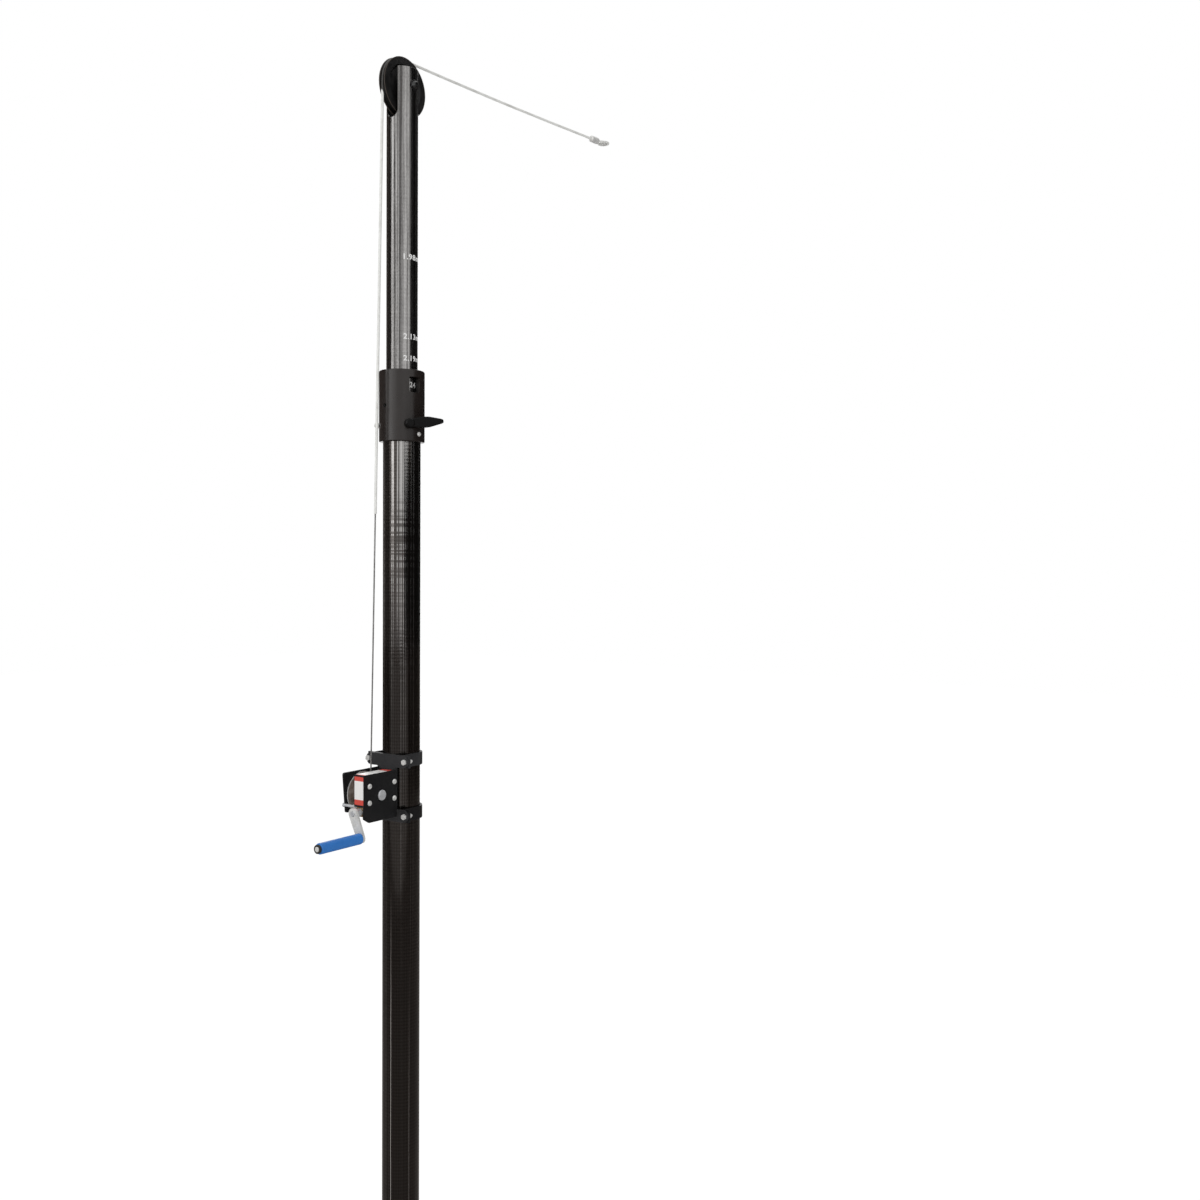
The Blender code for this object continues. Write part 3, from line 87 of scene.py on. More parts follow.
UP = Vector((0, 0, 1))
AHEAD = Vector((math.sin(CAMERA_SIDE), math.cos(CAMERA_SIDE), 0))
ACROSS = Vector((math.cos(CAMERA_SIDE), -math.sin(CAMERA_SIDE), 0))


def make_camera():
    level = math.cos(CAMERA_YAW) * AHEAD + math.sin(CAMERA_YAW) * ACROSS
    side = math.cos(CAMERA_YAW) * ACROSS - math.sin(CAMERA_YAW) * AHEAD
    forward = math.cos(CAMERA_PITCH) * level - math.sin(CAMERA_PITCH) * UP
    top = math.sin(CAMERA_PITCH) * level + math.cos(CAMERA_PITCH) * UP
    right = math.cos(CAMERA_ROLL) * side + math.sin(CAMERA_ROLL) * top
    above = math.cos(CAMERA_ROLL) * top - math.sin(CAMERA_ROLL) * side
    data = bpy.data.cameras.new("view")
    data.sensor_width = CAMERA_SENSOR
    data.lens = CAMERA_LENS
    camera = bpy.data.objects.new("view", data)
    bpy.context.scene.collection.objects.link(camera)
    turn = Matrix((right, above, -forward)).transposed().to_4x4()
    camera.matrix_world = Matrix.Translation(CAMERA_HEIGHT * UP - CAMERA_DISTANCE * AHEAD) @ turn
    bpy.context.scene.camera = camera


# Shader maths
class Wire:
    """An output socket. Arithmetic on it adds Math nodes to its tree."""

    def __init__(self, paint, socket):
        self.paint = paint
        self.socket = socket

    def __add__(self, other):
        return self.paint.math("ADD", self, other)

    def __sub__(self, other):
        return self.paint.math("SUBTRACT", self, other)

    def __rsub__(self, other):
        return self.paint.math("SUBTRACT", other, self)

    def __mul__(self, other):
        return self.paint.math("MULTIPLY", self, other)

    def __pow__(self, other):
        return self.paint.math("POWER", self, other)

    __radd__ = __add__
    __rmul__ = __mul__


class Paint:
    """A node tree, and the methods that write it."""

    def __init__(self, tree):
        self.tree = tree

    def feed(self, socket, value):
        if isinstance(value, Wire):
            self.tree.links.new(value.socket, socket)
        elif socket.type == "RGBA":
            socket.default_value = (*value, 1)
        else:
            socket.default_value = value

    def node(self, kind, settings=None, sockets=(), output=0):
        """Adds a node, makes its settings, feeds its sockets by key or in order, and gives one output.

        A kind that isn't written out in full is a shader node's."""
        made = self.tree.nodes.new(kind if "Node" in kind else "ShaderNode" + kind)
        for name, value in (settings or {}).items():
            setattr(made, name, value)
        for key, value in sockets.items() if isinstance(sockets, dict) else enumerate(sockets):
            self.feed(made.inputs[key], value)
        return Wire(self, made.outputs[output]) if made.outputs else None

    def math(self, operation, *terms):
        return self.node("Math", {"operation": operation}, terms)

    def place(self, stretch=(1, 1, 1)):
        spot = self.node("TexCoord", output="Object")
        if stretch == (1, 1, 1):
            return spot
        return self.node("VectorMath", {"operation": "MULTIPLY"}, (spot, stretch))

    def axes(self):
        spot = self.place()
        return [self.node("SeparateXYZ", {}, (spot,), letter) for letter in "XYZ"]

    def noise(self, scale, detail=2.0, rough=0.5, stretch=(1, 1, 1)):
        facts = {"Vector": self.place(stretch), "Scale": scale, "Detail": detail, "Roughness": rough}
        return self.node("TexNoise", {}, facts, "Fac")

    def between(self, value, low, high, start=0.0, end=1.0):
        """The value moved from one range to another, and held inside it."""
        return self.node("MapRange", {}, {0: value, 1: low, 2: high, 3: start, 4: end})

    def mix(self, share, first, second):
        """Two colours mixed, with socket numbers because the Mix node repeats its names for each data type."""
        return self.node("Mix", {"data_type": "RGBA"}, {0: share, 6: first, 7: second}, 2)

    def bump(self, height, distance):
        return self.node("Bump", {}, {"Height": height, "Distance": distance})


class Finish(Paint):
    """A material on one Principled shader, with its constants set on the shader's own sockets."""

    def __init__(self, name, **constants):
        self.material = bpy.data.materials.new(name)
        self.material.use_nodes = True
        super().__init__(self.material.node_tree)
        self.shader = self.tree.nodes["Principled BSDF"]
        self.give(**constants)

    def give(self, **values):
        for name, value in values.items():
            self.feed(self.shader.inputs[name.replace("_", " ")], value)


# The parts of a noise's range that the finishes spread out
WIDE = (0.3, 0.7)
NARROW = (0.35, 0.65)

# Carbon cloth: its noises, which run along the tube or round it, and its threads. The hoops weaken below their zone
# from the second of two depths, and have half their strength at the first.
HAIR = {"scale": 620, "detail": 3.0, "rough": 0.65, "stretch": (1, 1, 0.012)}
STREAKS = {"scale": 330, "detail": 1.0, "stretch": (1, 1, 0.0025)}
GRAIN = {"scale": 760, "rough": 0.6, "stretch": (1, 1, 0.35)}
HOOPS = {"scale": 125, "rough": 0.6, "stretch": (0.03, 0.03, 1)}
PATCHES = {"scale": 6.5, "detail": 1.0}
HAIR_SHARE = 0.62
TOWS_AROUND = 46
PICK_LENGTH = 0.007
HOOP_EDGE = (0.44, 0.54)
HOOPS_WEAKEN = (0.16, 0.06)
CARBON_METALLIC = 0.96
CARBON_ROUGHNESS = (0.09, 0.20)
CARBON_RELIEF = 0.00012

# Lines where resin has gathered along the cloth's edges, with their widths and wander in radians round the tube
RESIN_COLOR = (0.36, 0.33, 0.31)
RESIN_EDGE = (0.022, 0.008)
RESIN_WAVES = {"scale": 9, "stretch": (0.2, 0.2, 1)}
RESIN_WANDER = 0.05
RESIN_RUN_OUT = 0.30


def carbon_finish(name, dark, light, streak_share, line_range, hoop_depth, hoop_zone, cloth_depth, lacquer,
                  painted_shade=((0.0, 0.1), 1.0), resin_lines=()):
    """Lacquered carbon cloth: fine tows along the tube that catch the light, crossed by hoops in one zone.

    The hoops begin at the zone's first height and are full at its second. As painted shade, the lines are painted
    darker between the two heights of the painted shade, down to the share that follows them. Each resin line has its
    azimuth in degrees, the height that it ends at, and its strength."""
    paint = Finish(name, Coat_Roughness=0.05)
    x, y, z = paint.axes()
    around = paint.math("ARCTAN2", y, x)
    tows = paint.math("SINE", around * TOWS_AROUND)
    picks = paint.math("SINE", z * (2 * math.pi / PICK_LENGTH))
    hair, streaks = paint.noise(**HAIR), paint.noise(**STREAKS)
    fine = HAIR_SHARE * hair + (1 - HAIR_SHARE) * paint.noise(**GRAIN)
    lines = paint.between(streak_share * streaks + (1 - streak_share) * fine, *line_range)
    # Painted shade: the tow lines are painted darker lower down the post, where less lamp light reflects
    painted_shade_heights, painted_shade_share = painted_shade
    lines = lines * paint.between(z, *painted_shade_heights, start=painted_shade_share)
    hoops_begin, hoops_full = hoop_zone
    hoops = paint.between(paint.noise(**HOOPS), *HOOP_EDGE) * paint.between(z, hoops_begin, hoops_full)
    halved_at, weaken_from = (hoops_full - depth for depth in HOOPS_WEAKEN)
    hoops = hoops * paint.between(z, halved_at, weaken_from, start=0.5)
    cloth = paint.between(tows + picks, -2.0, 2.0) * cloth_depth
    shade = paint.between(lines * (1.0 - hoop_depth * hoops) + cloth, 0.0, 1.0 + cloth_depth)
    color = paint.mix(shade, dark, light)
    metallic = CARBON_METALLIC
    for azimuth, top, strength in resin_lines:
        wander = RESIN_WANDER * paint.noise(**RESIN_WAVES)
        aside = paint.math("ABSOLUTE", around + wander - (math.radians(azimuth) + RESIN_WANDER / 2))
        here = paint.between(aside, *RESIN_EDGE) * paint.between(z, top, top - RESIN_RUN_OUT) * strength
        color = paint.mix(here, color, RESIN_COLOR)
        metallic = metallic * (1.0 - here)
    paint.give(
        Base_Color=color,
        Metallic=metallic,
        Roughness=paint.between(hair, *WIDE, *CARBON_ROUGHNESS),
        Coat_Weight=paint.between(paint.noise(**PATCHES), *WIDE, *lacquer),
        Normal=paint.bump(hair + 0.6 * streaks + 0.10 * (tows + picks), CARBON_RELIEF),
    )
    return paint.material


def speckled(name, dark, light, grain, rough, relief, **constants):
    """A paint or moulding with fine grain of this scale, blotches, and a slightly varying gloss."""
    paint = Finish(name, **constants)
    specks = paint.noise(grain, detail=3.0, rough=0.6)
    cloud = paint.noise(22)
    paint.give(
        Base_Color=paint.mix(paint.between(0.6 * cloud + 0.4 * specks, *NARROW), dark, light),
        Roughness=paint.between(cloud, *NARROW, *rough),
        Normal=paint.bump(specks, relief),
    )
    return paint.material


# Wheels: the width of the rim that gets a painted highlight, the rings on their sides, in radians of a wave for each
# metre, and how far outside the cable in the sheave the coat's dark colour thins out
RIM_WIDTH = 0.0022
SHEAVE_RINGS = 3300
DRUM_RINGS = 5200
SHEAVE_DARK_EDGE = (0.003, 0.004)


def wheel_rim(paint, name, centre):
    """How far a place is from the axis of a wheel that turns about +Y, and 1 on its rim, where a highlight is
    painted, and 0 further in.
    """
    x, _, z = paint.axes()
    reach = ((x - centre.x) ** 2 + (z - centre.z) ** 2) ** 0.5
    low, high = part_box(name)
    radius = (high.z - low.z) / 2
    return reach, paint.between(reach, radius - RIM_WIDTH, radius - RIM_WIDTH / 3)


def sheave_finish():
    """Black nylon, with a painted brown-grey highlight on its rims, and rubbed in rings on its sides."""
    paint = Finish("sheave_nylon", Specular_IOR_Level=0.3)
    reach, rim_highlight = wheel_rim(paint, "sheave", AXLE)
    rings = paint.math("SINE", reach * SHEAVE_RINGS)
    cloud = paint.noise(90, detail=3.0, rough=0.6)
    rubbed = paint.between(cloud + 0.05 * rings, *NARROW)
    face = paint.mix(rubbed, (0.0035, 0.0035, 0.0037), (0.010, 0.009, 0.009))
    paint.give(
        # painted highlight: the rim is painted lighter brown-grey where its edge catches the light
        Base_Color=paint.mix(rim_highlight, face, (0.060, 0.048, 0.040)),
        Roughness=paint.between(cloud, *WIDE, start=0.30, end=0.44),
        Normal=paint.bump(rings + cloud, 0.00005),
    )
    return paint.material


def worn_steel_finish():
    """The drum's steel: brown and dull on its flanges, turned rings, and a painted highlight on its rim."""
    paint = Finish("worn_drum_steel", Metallic=0.45)
    reach, rim_highlight = wheel_rim(paint, "drum", DRUM)
    rings = paint.math("SINE", reach * DRUM_RINGS)
    cloud = paint.noise(60, detail=3.0, rough=0.6)
    worn = paint.between(cloud + 0.06 * rings, 0.36, 0.62)
    face = paint.mix(worn, (0.27, 0.205, 0.165), (0.58, 0.52, 0.47))
    paint.give(
        # painted highlight: a bright rim where the flange's edge catches the light
        Base_Color=paint.mix(rim_highlight, face, (0.72, 0.71, 0.69)),
        Roughness=paint.between(worn, 0.0, 1.0, start=0.50, end=0.30),
        Normal=paint.bump(rings + 2.0 * cloud, 0.00004),
    )
    return paint.material


def zinc_finish():
    """Zinc plate: small crystals, a slightly yellow haze and dull patches."""
    paint = Finish("zinc_plated_steel", Metallic=0.30)
    cloud = paint.noise(70, detail=3.0, rough=0.6)
    crystal = paint.node("TexVoronoi", {"feature": "F1"}, {"Vector": paint.place(), "Scale": 420}, "Color")
    flake = paint.node("RGBToBW", {}, (crystal,))
    tone = paint.between(0.7 * cloud + 0.3 * flake, 0.25, 0.75)
    paint.give(
        Base_Color=paint.mix(tone, (0.62, 0.62, 0.605), (0.84, 0.835, 0.81)),
        Roughness=paint.between(cloud, *WIDE, start=0.28, end=0.46),
        Normal=paint.bump(paint.noise(900), 0.00005),
    )
    return paint.material


def turned_steel_finish():
    """Turned steel with fine tool marks and faint clouds."""
    paint = Finish("turned_steel", Metallic=0.5)
    cloud = paint.noise(120, detail=3.0)
    marks = paint.noise(1400, detail=1.0)
    paint.give(
        Base_Color=paint.mix(paint.between(cloud, *NARROW), (0.58, 0.59, 0.61), (0.78, 0.79, 0.81)),
        Roughness=paint.between(marks, *WIDE, start=0.28, end=0.42),
        Normal=paint.bump(marks, 0.00003),
    )
    return paint.material


def wire_finish():
    """Galvanised wire rope: grey, dark between its wires, which cross each strand."""
    paint = Finish("galvanised_wire_rope", Metallic=0.9, Roughness=0.42)
    wires = paint.noise(1900, stretch=(1, 1, 0.6))
    tone = paint.between(0.5 * wires + 0.5 * paint.noise(60), *NARROW)
    paint.give(
        Base_Color=paint.mix(tone, (0.17, 0.165, 0.16), (0.46, 0.455, 0.45)),
        Normal=paint.bump(wires, 0.0003),
    )
    return paint.material


def coat_finish():
    """White vinyl over the cable, with grey handling marks, and nearly black where it lies in the sheave."""
    paint = Finish("white_vinyl_coat")
    x, _, z = paint.axes()
    reach = (x**2 + (z - AXLE.z) ** 2) ** 0.5
    outside = SHEAVE_CABLE_R + COAT_OD / 2
    off_sheave = paint.between(reach, *(outside + margin for margin in SHEAVE_DARK_EDGE))
    rubbed = paint.noise(35, detail=3.0, rough=0.6)
    white = paint.mix(paint.between(rubbed, 0.45, 0.75), (0.80, 0.80, 0.775), (0.62, 0.615, 0.59))
    # the coat is painted nearly black where it lies in the sheave
    dark_in_sheave = paint.mix(rubbed, (0.012, 0.011, 0.010), (0.045, 0.042, 0.038))
    paint.give(
        Base_Color=paint.mix(off_sheave, dark_in_sheave, white),
        Roughness=paint.between(rubbed, *WIDE, start=0.32, end=0.48),
        Normal=paint.bump(paint.noise(420, stretch=(1, 1, 0.3)), 0.00012),
    )
    return paint.material


def label_finish(name, axis, low, high, red_ends):
    """A blank decal: white with a fine printed grain, and a red field at each end along one axis."""
    paint = Finish(name, Coat_Weight=0.3, Coat_Roughness=0.2)
    along = paint.axes()[axis]
    first, last = red_ends
    red = paint.math("GREATER_THAN", along, high - last) + paint.math("LESS_THAN", along, low + first)
    wear = paint.between(paint.noise(520, detail=3.0, rough=0.7), 0.60, 0.72)
    white = paint.mix(wear, (0.83, 0.82, 0.80), (0.66, 0.64, 0.61))
    warm = paint.mix(wear, (0.64, 0.065, 0.045), (0.74, 0.30, 0.24))
    paint.give(Base_Color=paint.mix(red, white, warm))
    paint.give(Roughness=paint.between(wear, 0.0, 1.0, start=0.35, end=0.55))
    return paint.material


def make_finishes():
    """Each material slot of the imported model, and the finish that it gets."""
    dull = {"Specular_IOR_Level": 0.25}
    return {
        "carbon_tube": carbon_finish(
            "post_carbon",
            dark=(0.032, 0.0255, 0.0218),
            light=(0.44, 0.429, 0.418),
            streak_share=0.85,
            line_range=(0.545, 0.605),
            hoop_depth=0.85,
            hoop_zone=(1.72, 1.66),
            cloth_depth=0.10,
            lacquer=(0.22, 0.38),
            # painted shade: tow lines darker below 1.78 m, down to 0.16 of their strength under 1.16 m
            painted_shade=((1.16, 1.78), 0.16),
            resin_lines=((-169, 0.95, 1.0), (-111, 0.80, 0.4)),
        ),
        "collar_black": speckled(
            "collar_satin", (0.013, 0.0093, 0.0080), (0.019, 0.0145, 0.0128),
            grain=700, rough=(0.25, 0.33), relief=0.00006, Specular_IOR_Level=0.42,
        ),
        "black_nylon": speckled(
            "moulded_nylon", (0.0035, 0.0035, 0.0035), (0.007, 0.0065, 0.0065),
            grain=480, rough=(0.28, 0.40), relief=0.00008, **dull,
        ),
        "black_powder_coat": speckled(
            "powder_coat", (0.008, 0.008, 0.009), (0.014, 0.014, 0.015),
            grain=950, rough=(0.40, 0.52), relief=0.00016, **dull,
        ),
        "clamp_grey": speckled(
            "clamp_paint", (0.026, 0.026, 0.028), (0.040, 0.040, 0.042),
            grain=650, rough=(0.42, 0.54), relief=0.00014, **dull,
        ),
        "zinc_plate": zinc_finish(),
        "bright_steel": turned_steel_finish(),
        "black_bolt": speckled(
            "blackened_steel", (0.006, 0.006, 0.006), (0.012, 0.012, 0.012),
            grain=900, rough=(0.10, 0.20), relief=0.00004, Specular_IOR_Level=0.60,
        ),
        "bronze": speckled(
            "cast_bronze", (0.30, 0.19, 0.08), (0.50, 0.34, 0.17),
            grain=500, rough=(0.34, 0.50), relief=0.00006, Metallic=0.9,
        ),
        "blue_grip": speckled(
            "blue_vinyl_grip", (0.015, 0.150, 0.500), (0.024, 0.200, 0.620),
            grain=380, rough=(0.36, 0.50), relief=0.00014,
        ),
        "black_rubber": speckled(
            "black_rubber_cap", (0.016, 0.016, 0.016), (0.030, 0.029, 0.028),
            grain=420, rough=(0.62, 0.82), relief=0.00015,
        ),
        "steel_cable": wire_finish(),
        "white_cable_coat": coat_finish(),
    }


def special_finishes(look):
    """Nodes whose finish differs from that of the others with their slot; the lower strap's is painted shade."""
    return {
        # painted shade: the lower strap gets the darker powder coat instead of its slot's finish, for the shade it
        # lies in
        "lower_strap": look["black_powder_coat"],
        "tie_rod": look["bright_steel"],
        "collar_grub_screw": look["black_bolt"],
        "upper_tube": carbon_finish(
            "mast_carbon",
            dark=(0.030, 0.027, 0.025),
            light=(0.310, 0.302, 0.296),
            streak_share=0.55,
            line_range=(0.42, 0.58),
            hoop_depth=0.25,
            hoop_zone=(2.6, 1.6),
            cloth_depth=0.06,
            lacquer=(0.65, 1.0),
        ),
        "clamp_lever": speckled(
            "lever_nylon", (0.003, 0.003, 0.003), (0.006, 0.0055, 0.0055),
            grain=480, rough=(0.26, 0.36), relief=0.00008, Specular_IOR_Level=0.12,
        ),
        "drum": worn_steel_finish(),
        "sheave": sheave_finish(),
    }


# Meshes. A wire rope's section is lobed for its strands, and it twists once in each lay length.
ROPE_SIDES = 18
ROPE_STRANDS = 6
ROPE_LAY = 6.5 * BARE_OD
STRAND_DEPTH = 0.20
STRAND_CURVE = 0.6
COAT_SIDES = 16
SHARP_ANGLE = 35
TUBE_SHARP_ANGLE = 60


def add_mesh(name, bm, finish, sharp_angle=SHARP_ANGLE):
    """An object made of a bmesh, smooth apart from the edges over the sharp angle."""
    bmesh.ops.recalc_face_normals(bm, faces=bm.faces)
    mesh = bpy.data.meshes.new(name)
    bm.to_mesh(mesh)
    bm.free()
    mesh.shade_smooth()
    mesh.set_sharp_from_angle(angle=math.radians(sharp_angle))
    obj = bpy.data.objects.new(name, mesh)
    bpy.context.scene.collection.objects.link(obj)
    mesh.materials.append(finish)
    return obj


def route_frames(path):
    """A point, a side and a rise at each place on a path, turned as little as possible from one to the next."""
    side = None
    for index, spot in enumerate(path):
        before, after = path[max(index - 1, 0)], path[min(index + 1, len(path) - 1)]
        way = (after - before).normalized()
        if side is None:
            side = way.orthogonal().normalized()
        side = (side - way * side.dot(way)).normalized()
        yield spot, side, way.cross(side)


def tube(name, path, diameter, finish, rope=False):
    """A closed tube along a path, round or with the section of a wire rope."""
    bm = bmesh.new()
    sides = ROPE_SIDES if rope else COAT_SIDES
    rings = []
    travelled = 0.0
    last = path[0]
    for spot, side, rise in route_frames(path):
        travelled += (spot - last).length
        last = spot
        ring = []
        for step in range(sides):
            angle = 2 * math.pi * step / sides
            radius = diameter / 2
            if rope:
                lobe = abs(math.cos(ROPE_STRANDS / 2 * angle)) ** STRAND_CURVE
                radius *= 1 - STRAND_DEPTH + STRAND_DEPTH * lobe
                angle += 2 * math.pi * travelled / ROPE_LAY
            arm = side * math.cos(angle) + rise * math.sin(angle)
            ring.append(bm.verts.new(spot + arm * radius))
        rings.append(ring)
    for low, high in zip(rings, rings[1:]):
        for step in range(sides):
            following = (step + 1) % sides
            bm.faces.new((low[step], low[following], high[following], high[step]))
    bm.faces.new(rings[0])
    bm.faces.new(rings[-1])
    return add_mesh(name, bm, finish, TUBE_SHARP_ANGLE)


def straight_route(start, end, step):
    """Points about this far apart on a straight line."""
    count = round((end - start).length / step)
    return [start.lerp(end, index / count) for index in range(count + 1)]


def smooth_route(route, step):
    """Points about this far apart on a smooth curve through the route's own points."""
    path = []
    ends = [route[0] * 2 - route[1], *route, route[-1] * 2 - route[-2]]
    for a, b, c, d in zip(ends, ends[1:], ends[2:], ends[3:]):
        count = max(1, round((c - b).length / step))
        for index in range(count):
            t = index / count
            bend = (2 * a - 5 * b + 4 * c - d) * t**2 + (3 * b - a - 3 * c + d) * t**3
            path.append((2 * b + (c - a) * t + bend) / 2)
    return [*path, route[-1]]


# Cable
LOOP_POINTS = 40
ARC_STEPS = 36
EYE_STEPS = 28
ROPE_STEP = 0.0021
COAT_STEP = 0.02
TAIL_STEP = 0.012


def run_point(z):
    """Where the straight run from the drum to the sheave is at this height."""
    start = DRUM + Vector((DRUM_CABLE_R, 0, 0))
    end = AXLE - Vector((SHEAVE_CABLE_R, 0, 0))
    return start.lerp(end, (z - start.z) / (end.z - start.z))


def winding_route():
    """The drum's outer layer of cable, which leaves the drum straight up on the side of the post."""
    steps = round(WINDING_LOOPS * LOOP_POINTS)
    path = []
    for step in range(steps + 1):
        loops = (step - steps) / LOOP_POINTS
        turn = 2 * math.pi * loops
        across, rise = DRUM_CABLE_R * math.cos(turn), DRUM_CABLE_R * math.sin(turn)
        path.append(DRUM + Vector((across, WINDING_PITCH * loops, rise)))
    along = (path[0] - path[1]).normalized()
    return [path[0] + along * BARE_OD, *path, path[-1] + Vector((0, 0, BARE_OD))]


def arc_route():
    """Over the sheave, from the straight run on the winch's side to the tail on the other."""
    path = [run_point(AXLE.z - COAT_OD)]
    for step in range(ARC_STEPS + 1):
        angle = math.pi - math.pi / 2 * step / ARC_STEPS
        path.append(AXLE + SHEAVE_CABLE_R * Vector((math.cos(angle), 0, math.sin(angle))))
    return path


def tail_route():
    """From the top of the sheave away from the winch, taut and nearly level."""
    way = Vector((math.cos(TAIL_YAW), math.sin(TAIL_YAW), 0))
    start = AXLE + Vector((0, 0, SHEAVE_CABLE_R)) + way * (COAT_OD + GAP)
    route = [start] + [start + way * TAIL_REACH * part - Vector((0, 0, sag)) for part, sag in TAIL_SAG]
    return smooth_route(route, TAIL_STEP)


def eye_route(end, way):
    """The coated loop round the thimble: out of the ferrule, round, and back into it."""
    side = way.cross(UP).normalized() * -1
    start = GAP + FERRULE_LENGTH + GAP
    centre = start + EYE_LENGTH - EYE_RADIUS
    flat = [(start, -EYE_SIDE), (start + COAT_OD, -EYE_SIDE)]
    for step in range(EYE_STEPS + 1):
        angle = EYE_SWING * (2 * step / EYE_STEPS - 1)
        flat.append((centre + EYE_RADIUS * math.cos(angle), EYE_RADIUS * math.sin(angle)))
    flat += [(start + COAT_OD, EYE_SIDE), (start, EYE_SIDE)]
    return [end + way * along + side * across for along, across in flat]


def make_cable(look):
    steel, coat = look["steel_cable"], look["white_cable_coat"]
    winding = tube("wound_wire_rope", winding_route(), BARE_OD, steel, rope=True)
    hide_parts("cable_winding")
    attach(winding, "drum")
    low = DRUM.z + BARE_OD + GAP
    route = straight_route(run_point(low), run_point(COAT_END_Z), ROPE_STEP)
    bare = tube("wire_rope_run", route, BARE_OD, steel, rope=True)
    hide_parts("cable_run_bare")
    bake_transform(bare)
    top = AXLE.z - COAT_OD - GAP
    route = straight_route(run_point(COAT_END_Z + GAP), run_point(top), COAT_STEP)
    coated = tube("coated_cable_run", route, COAT_OD, coat)
    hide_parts("cable_run_coated")
    path = tail_route()
    arc = tube("coated_cable_over_sheave", [*arc_route(), path[0]], COAT_OD, coat)
    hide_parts("cable_over_sheave")
    tail = tube("coated_cable_tail", path, COAT_OD, coat)
    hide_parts("cable_tail")
    way = (path[-1] - path[-2]).normalized()
    eye = tube("coated_cable_eye", eye_route(path[-1], way), COAT_OD, coat)
    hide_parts("cable_eye")
    for piece in (coated, arc, tail, eye):
        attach(piece, "mast")
    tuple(path[0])


# Height marks: their figures and places up the mast, and the size and weight of their print
MARKS = (("1.98", 2.1916), ("2.13", 2.0329), ("2.19", 1.9893), ("2.24", 1.9366))
MARK_AZIMUTH = math.radians(265)
MARK_LENGTH = 0.041
MARK_HEIGHT = 0.0112
MARK_BASE = 0.00004
MARK_THICK = 0.00012
MARK_BOLD = 0.025
MARK_SPACING = 1.1
MARK_STRIP = 0.0012
MARK_WELD = 0.00001


def flat_figures(name, text):
    """Bold figures as a flat mesh, in the font's own units."""
    curve = bpy.data.curves.new(name, "FONT")
    curve.body = text
    curve.offset = MARK_BOLD
    curve.space_character = MARK_SPACING
    curve.align_x = "CENTER"
    curve.align_y = "CENTER"
    figures = bpy.data.objects.new(name, curve)
    bpy.context.scene.collection.objects.link(figures)
    bpy.context.view_layer.update()
    flat = bpy.data.meshes.new_from_object(figures.evaluated_get(bpy.context.evaluated_depsgraph_get()))
    bpy.data.objects.remove(figures)
    return flat


def wrapped_mark(name, text, height, finish):
    """Figures cut into narrow strips, bent round the mast and given a thickness."""
    bm = bmesh.new()
    bm.from_mesh(flat_figures(name, text))
    bmesh.ops.remove_doubles(bm, verts=bm.verts, dist=MARK_WELD)
    left, right = min(v.co.x for v in bm.verts), max(v.co.x for v in bm.verts)
    low, high = min(v.co.y for v in bm.verts), max(v.co.y for v in bm.verts)
    strips = round(MARK_LENGTH / MARK_STRIP)
    for strip in range(1, strips):
        at = left + (right - left) * strip / strips
        geometry = bm.verts[:] + bm.edges[:] + bm.faces[:]
        bmesh.ops.bisect_plane(bm, geom=geometry, plane_co=(at, 0, 0), plane_no=(1, 0, 0))
    for vert in bm.verts:
        turn = MARK_AZIMUTH + ((vert.co.x - left) / (right - left) - 0.5) * MARK_LENGTH / MAST_R
        rise = ((vert.co.y - low) / (high - low) - 0.5) * MARK_HEIGHT
        reach = MAST_R + MARK_BASE
        vert.co = Vector((reach * math.cos(turn), reach * math.sin(turn), height + rise))
    made = bmesh.ops.extrude_face_region(bm, geom=bm.faces[:])
    for item in made["geom"]:
        if isinstance(item, bmesh.types.BMVert):
            out = Vector((item.co.x, item.co.y, 0)).normalized()
            item.co += out * MARK_THICK
    return add_mesh(name, bm, finish)


def make_marks():
    paint = speckled(
        "white_mark_paint", (0.80, 0.80, 0.79), (0.90, 0.90, 0.89), grain=700, rough=(0.40, 0.55), relief=0.00003
    )
    for text, height in MARKS:
        mark = wrapped_mark("height_mark_" + text, text + "m", height, paint)
        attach(mark, "mast")


# Blank decals on the gear cover, on its sides that face along X and along Z
X, Z = 0, 2
DECAL_THICK = 0.00022
DECAL_LIFT = 0.00003
DECAL_CORNER = 0.0016
CORNER_STEPS = 4
SIDE_MARGIN = 0.0012
EDGE_MARGIN = 0.0032
FRONT_DECAL_FOOT = 1.1042
TOP_DECAL_REACH = 0.080
FRONT_RED_ENDS = (0.0105, 0.0085)
TOP_RED_ENDS = (0.004, 0.014)


def thin_plate(name, low, high, flat_axis, finish):
    """A plate from its low to its high corner, with round corners in its own plane."""
    axes = [axis for axis in range(3) if axis != flat_axis]
    bm = bmesh.new()
    outline = []
    for start, *signs in ((180, -1, -1), (270, 1, -1), (0, 1, 1), (90, -1, 1)):
        ends = [(high if sign > 0 else low)[axis] - sign * DECAL_CORNER for axis, sign in zip(axes, signs)]
        for step in range(CORNER_STEPS + 1):
            angle = math.radians(start + 90 * step / CORNER_STEPS)
            spot = Vector(low)
            spot[axes[0]] = ends[0] + DECAL_CORNER * math.cos(angle)
            spot[axes[1]] = ends[1] + DECAL_CORNER * math.sin(angle)
            outline.append(bm.verts.new(spot))
    made = bmesh.ops.extrude_face_region(bm, geom=[bm.faces.new(outline)])
    raised = [item for item in made["geom"] if isinstance(item, bmesh.types.BMVert)]
    sweep = Vector((0, 0, 0))
    sweep[flat_axis] = high[flat_axis] - low[flat_axis]
    bmesh.ops.translate(bm, verts=raised, vec=sweep)
    return add_mesh(name, bm, finish)


